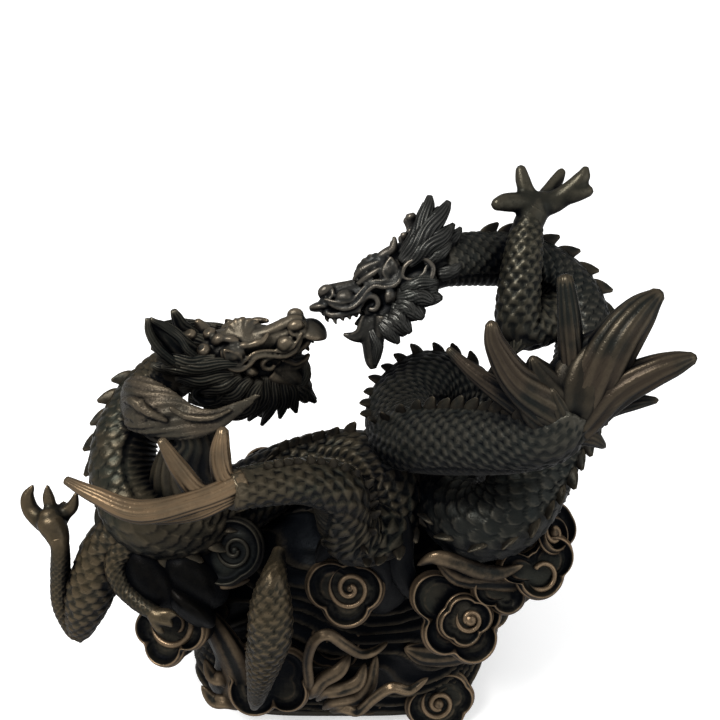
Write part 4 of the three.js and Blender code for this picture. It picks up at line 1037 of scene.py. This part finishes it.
RIGHT_MANE = [
    [(17.5, 9.5, 9.5, 2.6), (9.0, 11.4, 14.8, 4.4), (2.4, 11.8, 21.6, 4.2), (-1.9, 11, 28.2, 3.0),
     (-4, 10, 32.6, 1.4)],
    [(19, 12, 6, 3), (9.0, 14, 12.2, 4.8), (-1.0, 14.5, 18.6, 4.4), (-8, 14, 23.6, 3.0),
     (-11.4, 13.4, 26.8, 1.4)],
    [(17, 13.4, 4.4, 2.6), (8.0, 15, 8.2, 4.4), (-1.4, 15.5, 11.2, 4.2), (-6.5, 15.0, 13.4, 2.8),
     (-9.4, 14.4, 15.2, 1.2)],
    [(13, 8, 9, 3.6), (4, 9, 16, 4.6), (-3, 9.5, 22, 4.0), (-7, 9, 26, 1.2)],
    [(9, 13, 3, 3), (2, 14.4, 4.4, 3.8), (-3, 14.6, 6.4, 2.8), (-6, 14, 8.4, 1.2)],
    [(23.4, 11.6, -6.3, 2.2), (17.5, 14, -6.2, 3.8), (10.5, 14.8, -6.8, 3.6), (5.5, 14.2, -8.6, 1.2)],
    [(26.5, 11.4, -10.0, 2.4), (20.4, 13.6, -10.8, 4.4), (14.2, 14.6, -13.6, 4.0),
     (10.0, 14.2, -17.0, 1.3)],
    [(29.0, 11.0, -13.8, 2.4), (23.6, 12.8, -15.6, 4.4), (20.0, 13.4, -19.6, 3.8),
     (17.6, 13.0, -23.0, 1.3)],
    [(33.0, 10.2, -16.6, 2.4), (29.4, 11.6, -19.8, 4.2), (27.2, 11.8, -24.0, 3.6),
     (25.6, 11.4, -27.8, 1.2)],
    [(38.4, 8.8, -18.4, 2.4), (35.6, 10.0, -23.0, 3.8), (33.6, 9.8, -27.6, 2.8), (32.6, 9.4, -31.0, 1.0)],
    [(43.0, 6.0, -20.0, 2.2), (42.4, 7.0, -27.0, 3.2), (44.4, 6.0, -33.0, 2.4), (46.6, 4.0, -38.0, 0.9)],
    [(18, 10, -12, 4), (12, 11, -14, 4.4), (8, 11.5, -15.5, 3), (5.5, 11.5, -16.5, 1)],
    [(25, 9, -8, 4.5), (17, 11, -9, 5.5), (10, 11.5, -10, 4.5), (6, 11.5, -11, 2)],
    [(30, 8.5, -13, 4.5), (24, 10, -16.5, 5.5), (19, 10.5, -19, 4.5), (16, 10, -21, 2)],
    [(36, 7.5, -17, 4), (32, 9, -21.5, 5), (29, 9, -25, 4), (28, 8.5, -28, 2)],
    [(27.0, 12.6, -11.0, 1.4), (23.0, 14.8, -13.4, 2.4), (21.4, 15.6, -17.0, 2.0),
     (22.6, 15.0, -20.6, 0.8)],
    [(31.0, 11.8, -14.6, 1.4), (28.0, 13.6, -17.6, 2.2), (27.6, 14.0, -21.4, 1.8),
     (29.6, 13.2, -24.6, 0.8)],
]
LEFT_MANE = [
    [(17, 12, 6, 3), (7.0, 13.5, 10.6, 4.2), (0.5, 14, 14.6, 3.8), (-4.0, 13, 18.0, 2.4),
     (-7.0, 11.5, 21.0, 1.0)],
    [(27, 11.4, -1.4, 1.8), (18, 13.6, 4.4, 3.4), (7.6, 14.6, 8.0, 4.2), (-1.0, 14.6, 11.4, 3.4),
     (-7.6, 13.4, 13.6, 0.9)],
    [(22, 12, -4.6, 2.2), (13, 14.6, -1.4, 4.0), (4.0, 15.4, 1.4, 3.8), (-4.6, 15.0, 5.4, 1.0)],
    [(24, 11.6, -8.0, 2.2), (15.4, 14.4, -7.6, 4.2), (7.2, 15.0, -7.4, 3.6), (0.6, 14.0, -6.4, 1.0)],
    [(27.5, 11.2, -11.6, 2.4), (20.0, 13.8, -14.0, 4.2), (12.6, 14.6, -15.6, 3.6), (5.6, 13.6, -15.6, 1.0)],
    [(31.0, 10.6, -15.0, 2.4), (25.0, 12.6, -20.0, 4.2), (18.6, 13.0, -24.4, 3.4),
     (11.6, 11.8, -27.6, 1.0)],
    [(34, 9, -15.5, 2.6), (29, 9.6, -25, 4.0), (22, 9.0, -34, 3.4), (13, 8.0, -41.5, 1.0)],
    [(37, 8, -17.0, 2.6), (33, 8.4, -28, 4.0), (26, 8.0, -39, 3.2), (17.5, 7.0, -48.5, 1.0)],
    [(40, 6.4, -19.0, 2.6), (37.4, 6.6, -30, 3.8), (32.4, 6.0, -41, 3.0), (27.6, 5.0, -49.5, 1.0)],
    [(42, 4.6, -21.0, 2.6), (41.0, 4.8, -32, 3.6), (38.0, 4.0, -43, 3.0), (36.4, 3.0, -51.0, 1.0)],
    [(44, 2.6, -22.0, 2.6), (45.0, 2.8, -32, 3.4), (46.0, 2.0, -42, 3.0), (48.0, 1.0, -50.0, 1.2)],
    [(20, 10, -13, 4), (10, 12.6, -15, 5), (1, 12.8, -14, 4.4), (-6, 12, -11, 2.4)],
    [(24, 9, -17, 4), (14, 11.6, -21, 5), (5, 12, -22, 4.6), (-2, 11.5, -20, 2)],
    [(28, 8, -21, 4), (20, 10.6, -28, 5), (12, 11, -32, 4), (5, 10.5, -33, 1.6)],
    [(41.0, 3.2, -24.0, 2.0), (46.0, 3.0, -31.0, 3.4), (50.4, 2.2, -29.0, 3.0), (51.8, 1.4, -24.0, 2.4),
     (52.2, 1.0, -20.0, 1.2)],
]
LEFT_BEARD = [
    [(33, 0, -24, 7), (28, 0, -34, 8), (22, 0, -42, 6), (17, 0, -47, 2.4)],
    [(40, 0, -26, 6), (37, 0, -36, 7), (34, 0, -44, 5), (33, 0, -48, 2)],
    [(44, 0, -26, 5), (45, 0, -36, 6), (44, 0, -44, 4.4), (43, 0, -48, 2)],
]
LEFT_EAR = [  # the two rolled edges of the near ear, its hollow between them, and the tip of the far one
    ([(4, -14, 8, 2.0), (0, -15, 15.5, 2.4), (-2.6, -14.8, 25.0, 2.3), (-2.8, -13, 34.0, 2.0),
      (-0.9, -10.2, 40.0, 1.2)], 1.0, 1.0),
    ([(10, -12, 10, 2.0), (8.2, -12.8, 17.4, 2.0), (7.0, -10.8, 24.4, 2.0), (2.8, -8.8, 31.6, 2.0),
      (-0.4, -9.4, 38.6, 1.2)], 1.0, 1.0),
    ([(8, -9, 8, 5.0), (4.6, -9.6, 17, 5.6), (2.6, -8.6, 25.6, 5.0), (0.4, -8.4, 32.6, 3.4),
      (-0.6, -9.4, 38.0, 1.2)], 1.1, 0.5),
    ([(8, 5, 10, 4.0), (4.6, 5.4, 18, 4.0), (4.8, 6, 25.4, 2.8), (5.2, 6, 29.2, 1.6)], 1.0, 0.8),
]
CHEEK_CURL = [(12.0, -13.6, -6.0, 1.6), (7.8, -15.2, -3.9, 2.0), (2.0, -15.4, -4.8, 2.0),
              (-0.4, -15.2, -8.4, 2.0), (1.4, -15.2, -13.6, 2.0), (6.4, -15.2, -14.8, 1.9),
              (9.0, -15.2, -11.4, 1.7), (6.4, -15.4, -8.4, 1.5), (4.2, -15.6, -10.2, 1.0)]
CROWN = [
    [(14, 0, 8, 4), (5, 0, 14, 4.8), (-2, 0, 18, 4), (-6, 0, 21, 1.2)],
    [(6, 0, 8, 4), (-3, 0, 12, 4.8), (-9, 0, 14.5, 3.2), (-13, 0, 17, 1.0)],
]
CROWN_PAIRS = [
    [(2, 7, 6, 4), (-6, 8.5, 9, 4.4), (-11, 9, 11, 2.8), (-14, 8.5, 13.5, 0.9)],
    [(4, 9, -5, 4), (-3, 10, -5, 4), (-7, 10, -4, 2.4), (-9.5, 9.5, -3, 0.9)],
]
for rows in CROWN_PAIRS:
    CROWN += [[(x, side * y, z, radius) for x, y, z, radius in rows] for side in (1, -1)]


def head_axes(head):
    """The head's own x, y and z in the sculptor's frame, with z made square to x."""
    x = unit(np.array(head["forward"], float))
    up = np.array(head["up"], float)
    z = unit(up - (up @ x) * x)
    return np.array([x, np.cross(z, x), z])


def in_head(head, rows, mirror=1):
    """Rows in head places, mirrored or not, moved to the sculptor's frame."""
    rows = np.array(rows, float)
    places = rows[:, :3] * (1, mirror, 1) @ head_axes(head) + np.array(head["at"], float)
    return np.column_stack([places, rows[:, 3:]])


def way(head, x, y, z):
    """A direction in head terms, in the sculptor's frame."""
    return np.array([x, y, z], float) @ head_axes(head)


def head_block(head, pairs, singles, ribs, rib_sides, rib_size, lip):
    """Every smooth feature of a head as a fat lock, melted together."""
    parts = [lock(in_head(head, rows), way(head, 0, 0, 1), wide=wide, grooves=3, depth=0.02, step=0.9,
                  flat=flat)
             for rows, wide, flat in HEAD_MIDDLE]
    parts.append(lock(in_head(head, lip), way(head, 0, 0, 1), wide=1.1, grooves=3, depth=0.02, step=0.9,
                      flat=0.42))
    parts += [lock(in_head(head, rows), way(head, 0, 0, 1), wide=1.0, grooves=3, depth=0.02, step=0.6,
                   around=18) for rows in singles]
    for side in (1, -1):
        parts += [lock(in_head(head, rows, side), way(head, 0, side, 0.3), wide=1.0, grooves=3, depth=0.02,
                       step=0.6, around=18)
                  for rows in HEAD_PAIRS + pairs]
        for x, y, z, length in HEAD_TEETH:
            tooth = [(x, y, z, 1.2), (x + 0.3, y, z - length * 0.5, 1.0), (x, y * 0.97, z - length, 0.4)]
            parts.append(lock(in_head(head, tooth, side), way(head, 1, 0, 0), wide=1.0, grooves=3,
                              depth=0.0, step=0.6, around=12))
    for side in rib_sides:
        for root, tip in ribs:
            root, tip = np.array(root), np.array(tip)
            middle = 0.5 * (root + tip) + (0, 1.2, 0.6)
            rib = [(*root, 1.5 * rib_size), (*middle, 1.5 * rib_size),
                   (*(tip - (0, 0, 0.6)), 1.35 * rib_size), (*tip, 0.7)]
            parts.append(lock(in_head(head, rib, side), way(head, 0, 0, 1), wide=1.0, grooves=3, depth=0.0,
                              step=0.6, around=14))
    return fused(parts, 0.63, 0)


def eyeballs(head):
    """Two balls, each bulging out between its lids."""
    rows = [(25.6, 8.8, 3.6, 1.6), (25.6, 10.6, 3.6, 2.9), (25.6, 12.0, 3.6, 2.1), (25.6, 12.7, 3.6, 0.5)]
    return [lock(in_head(head, rows, side), way(head, 0, 0, 1), wide=0.9, grooves=3, depth=0.0, step=0.4,
                 around=20, flat=1.25) for side in (1, -1)]


def mane(head, pairs, middle):
    """Grooved locks that stream back from the face, with grooves that turn a little and sway on the way."""
    locks = []
    for side in (1, -1):
        for k, rows in enumerate(pairs):
            turning = side * (0.5 + 0.2 * (k % 3))
            locks.append(lock(in_head(head, rows, side), way(head, 0, side, 0.2), wide=1.05, grooves=13,
                              depth=0.16, twist=turning, step=1.25, around=62, flat=0.85, wave=0.24))
    locks += [lock(in_head(head, rows), way(head, 0, 1, 0), wide=1.0, grooves=13, depth=0.14, twist=0.4,
                   step=1.5, around=60, wave=0.2) for rows in middle]
    return locks


HEAD_COLOURS = {
    "left": {"bronze": (0.064, 0.055, 0.041), "patina": (0.036, 0.034, 0.029),
             "rubbed": (0.17, 0.132, 0.090)},
    "right": {"bronze": (0.0225, 0.0220, 0.0200), "patina": (0.021, 0.022, 0.022),
              "rubbed": (0.14, 0.122, 0.098)},
}
HAIR_COLOURS = {
    "left": {"bronze": (0.0165, 0.0165, 0.0135), "rubbed": (0.105, 0.094, 0.072)},
    "right": {"bronze": (0.0115, 0.0120, 0.0116), "rubbed": (0.062, 0.061, 0.056)},
}
FACES = {
    "left": ([], LEFT_SINGLES, LEFT_RIBS, (1,), 1.35, LEFT_LIP),
    "right": (RIGHT_PAIRS, RIGHT_SINGLES, RIGHT_RIBS, (1, -1), 1.0, RIGHT_LIP),
}
for side, pairs in (("left", LEFT_MANE), ("right", RIGHT_MANE)):
    face = [head_block(HEADS[side], *FACES[side])] + eyeballs(HEADS[side])
    hair = mane(HEADS[side], pairs, CROWN + (LEFT_BEARD if side == "left" else []))
    if side == "left":
        hair += [lock(in_head(HEADS[side], rows), (0, -0.8, 0.6), wide=wide, grooves=9, depth=0.12,
                      twist=0.3, step=0.9, around=48, flat=flat)
                 for rows, wide, flat in LEFT_EAR]
        hair.append(lock(in_head(HEADS[side], CHEEK_CURL), (0, -0.8, 0.6), wide=1.0, grooves=6, depth=0.1,
                         twist=0.3, step=0.6, around=36))
    casting.append(cast(side + "_head", face,
                        bronze_and_painted_shade(side + "_head_bronze", wear=0.7, **HEAD_COLOURS[side])))
    casting.append(cast(side + "_mane", hair,
                        bronze_and_painted_shade(side + "_mane_bronze", wear=0.6, **HAIR_COLOURS[side])))

# ---------------------------------------------------------------- the patina and the painted shade
# Age shows by place. Edges and high spots are rubbed down to brown metal and hollows keep the dark dip. The
# places that little of the open sky's light reaches, the deepest between the dragons and the clouds, get
# painted shade, nearly black.
CELL = 2.5  # millimetres, of the grid that measures how crowded a place is
FINE_MESH = 0.95  # millimetres between points, beyond which a mesh counts as coarse
NEAR_ROUNDS, FAR_ROUNDS = 3, 12  # rounds of smoothing for the ground close by and farther off
NEAR_PART, FAR_PART = 2.2, 0.9  # how much a height over each ground counts
SHADE = 0.30  # how fast a crowd of surfaces dims the light
SKY_START, SKY_REACH, SKY_STEP = 2, 92, 4.5  # millimetres, along each way to the sky
CROWD_LIMIT = 12  # square millimetres of surface that one cell counts at most
MARGIN = 12  # millimetres of empty grid round the casting
OFF_SURFACE = 4.0  # millimetres from a point to where its ways to the sky start
DEEP, OPEN = 0.06, 0.72  # shares of the sky's light at which the painted shade is darkest and at which it ends


def neighbour_mean(values, edges, count):
    """Each point's mean over the points that it shares an edge with."""
    degree = np.bincount(edges.ravel(), minlength=count)
    one, other = edges[:, 0], edges[:, 1]
    total = [np.bincount(one, values[other, k], count) + np.bincount(other, values[one, k], count)
             for k in range(values.shape[1])]
    return np.stack(total, 1) / np.maximum(degree, 1)[:, None]


def surface_of(piece):
    """A piece's points and normals, in millimetres, and its edges."""
    mesh = piece.data
    points, normals = np.empty(len(mesh.vertices) * 3), np.empty(len(mesh.vertices) * 3)
    mesh.vertices.foreach_get("co", points)
    mesh.vertex_normals.foreach_get("vector", normals)
    edges = np.empty(len(mesh.edges) * 2, np.int64)
    mesh.edges.foreach_get("vertices", edges)
    return points.reshape(-1, 3) / MILLIMETRE, normals.reshape(-1, 3), edges.reshape(-1, 2)


def relief_of(points, normals, edges):
    """How far a point stands above the smoothed surface round it, at two sizes, squashed to 0..1. Coarse
    meshes are judged more gently, because their neighbours lie farther off."""
    near, count = points, len(points)
    length = np.linalg.norm(points[edges[:, 0]] - points[edges[:, 1]], axis=1)
    degree = np.maximum(np.bincount(edges.ravel(), minlength=count), 1)
    spacing = np.bincount(edges.ravel(), np.repeat(length, 2), count) / degree
    gain = np.minimum(1.0, (FINE_MESH / spacing) ** 1.8)
    for _ in range(NEAR_ROUNDS):
        near = neighbour_mean(near, edges, count)
    far = near
    for _ in range(FAR_ROUNDS):
        far = neighbour_mean(far, edges, count)
    over_near, over_far = ((points - near) * normals).sum(1), ((points - far) * normals).sum(1)
    height = gain * (NEAR_PART * over_near + FAR_PART * over_far)
    return 0.5 + 0.5 * np.tanh(height)


def set_attribute(piece, name, values):
    """A number on each point of a piece."""
    layer = piece.data.attributes.new(name, "FLOAT", "POINT")
    layer.data.foreach_set("value", values.astype(np.float32))


def box_blur(grid, reach):
    """The mean over a cube of cells, by running sums along each axis."""
    for axis in range(3):
        pad = [(reach + 1, reach) if k == axis else (0, 0) for k in range(3)]
        running = np.cumsum(np.pad(grid, pad), axis=axis)
        size = grid.shape[axis]
        ahead = np.take(running, range(2 * reach + 1, 2 * reach + 1 + size), axis=axis)
        grid = (ahead - np.take(running, range(size), axis=axis)) / (2 * reach + 1)
    return grid


def sky_ways():
    """Straight up, a ring of directions leaning out by 35 degrees, and a ring leaning out by 65."""
    ways = [(0, 0, 1)]
    for lean, number in ((35, 6), (65, 8)):
        for turn in angles(number):
            out, up = np.sin(np.radians(lean)), np.cos(np.radians(lean))
            ways.append((out * np.sin(turn), out * np.cos(turn), up))
    return np.array(ways)


def sky_light(points, normals, crowd, low):
    """The share of an open sky's light that reaches each point: the sum over directions of n.d times
    exp(-SHADE depth), where depth adds up the crowd of surfaces along the way."""
    total, full = np.zeros(len(points)), 0
    for ahead in sky_ways():
        facing = np.maximum(normals @ ahead, 0)
        full = full + ahead[2]
        seen = facing > 0.02
        start = points[seen] + OFF_SURFACE * normals[seen]
        depth = np.zeros(len(start))
        for out in np.arange(SKY_START, SKY_REACH, SKY_STEP):
            cells = ((start + out * ahead - low) / CELL).astype(int)
            depth += crowd[tuple(np.clip(cells, 0, np.array(crowd.shape) - 1).T)]
        total[seen] += facing[seen] * np.exp(-SHADE * depth)
    return total / full


surfaces = {piece.name: surface_of(piece) for piece in casting}
low = np.min([points.min(0) for points, _, _ in surfaces.values()], axis=0) - MARGIN
high = np.max([points.max(0) for points, _, _ in surfaces.values()], axis=0) + MARGIN
shape = np.ceil((high - low) / CELL).astype(int)
crowd = np.zeros(shape)
for piece in casting:
    points = surfaces[piece.name][0]
    area = sum(face.area for face in piece.data.polygons) / MILLIMETRE ** 2
    cells = ((points - low) / CELL).astype(int)
    np.add.at(crowd, tuple(cells.T), area / len(points))
crowd = box_blur(np.minimum(crowd, CROWD_LIMIT), 1)
for piece in casting:
    points, normals, edges = surfaces[piece.name]
    light = sky_light(points, normals, crowd, low)
    set_attribute(piece, "relief", relief_of(points, normals, edges))
    # Painted shade: the less of the sky's light reaches a point, the darker its colour is painted.
    set_attribute(piece, "painted_shade", 1 - smooth_step(DEEP, OPEN, light))

# ---------------------------------------------------------------- the studio
# A plain pale floor, soft light from all round, and one broad lamp high on the left.
CAMERA_PITCH = np.radians(35)
CAMERA_LENS = 38.6  # millimetres, on a 36 mm sensor
CAMERA_PLACE = np.array([0.0, -316.2, 435.4])
FLOOR_HALF = 6  # metres

floor_mesh = bpy.data.meshes.new("floor")
floor_corners = [(x * FLOOR_HALF, y * FLOOR_HALF, 0) for x, y in ((-1, -1), (1, -1), (1, 1), (-1, 1))]
floor_mesh.from_pydata(floor_corners, [], [(0, 1, 2, 3)])
floor = bpy.data.objects.new("floor", floor_mesh)
bpy.context.scene.collection.objects.link(floor)
floor_paint = bpy.data.materials.new("floor_paint")
floor_paint.use_nodes = True
paint = floor_paint.node_tree
cover = paint.nodes["Principled BSDF"]
fibres = node(paint, "ShaderNodeTexNoise", in_2=9.0, in_3=4.0)
shade = node(paint, "ShaderNodeMapRange", in_3=0.88, in_4=0.92)
place = paint.nodes.new("ShaderNodeTexCoord")
paint.links.new(place.outputs["Object"], fibres.inputs[0])
paint.links.new(fibres.outputs[0], shade.inputs[0])
paint.links.new(shade.outputs[0], cover.inputs["Base Color"])
cover.inputs["Roughness"].default_value = 0.9
cover.inputs["Emission Color"].default_value = (1, 1, 1, 1)
cover.inputs["Emission Strength"].default_value = 0.35
floor_mesh.materials.append(floor_paint)

world = bpy.data.worlds.new("studio")
world.use_nodes = True
world.node_tree.nodes["Background"].inputs["Color"].default_value = (1, 1, 1, 1)
world.node_tree.nodes["Background"].inputs["Strength"].default_value = 0.85
bpy.context.scene.world = world


def lamp(name, place, size, power, colour):
    """A square area lamp, in metres, aimed at the middle of the casting."""
    light = bpy.data.lights.new(name, "AREA")
    light.size, light.energy, light.color = size, power, colour
    holder = bpy.data.objects.new(name, light)
    holder.location = place
    aim = np.array([0, 0, 0.17]) - np.array(place)
    holder.rotation_euler = (np.arctan2(np.hypot(aim[0], aim[1]), -aim[2]), 0,
                             np.arctan2(aim[1], aim[0]) - np.pi / 2)
    bpy.context.scene.collection.objects.link(holder)


lamp("key", (-0.45, -0.30, 1.1), 0.5, 13.0, (1.0, 0.98, 0.95))
lamp("fill", (0.9, -0.6, 0.6), 0.8, 2.5, (0.95, 0.97, 1.0))

lens = bpy.data.cameras.new("camera")
lens.lens, lens.sensor_width = CAMERA_LENS, 36
camera = bpy.data.objects.new("camera", lens)
camera.location = (CAMERA_PLACE - MIDDLE) * MILLIMETRE
camera.rotation_euler = (np.pi / 2 - CAMERA_PITCH, 0, 0)
bpy.context.scene.collection.objects.link(camera)
bpy.context.scene.camera = camera
bpy.context.scene.view_settings.view_transform = "Standard"
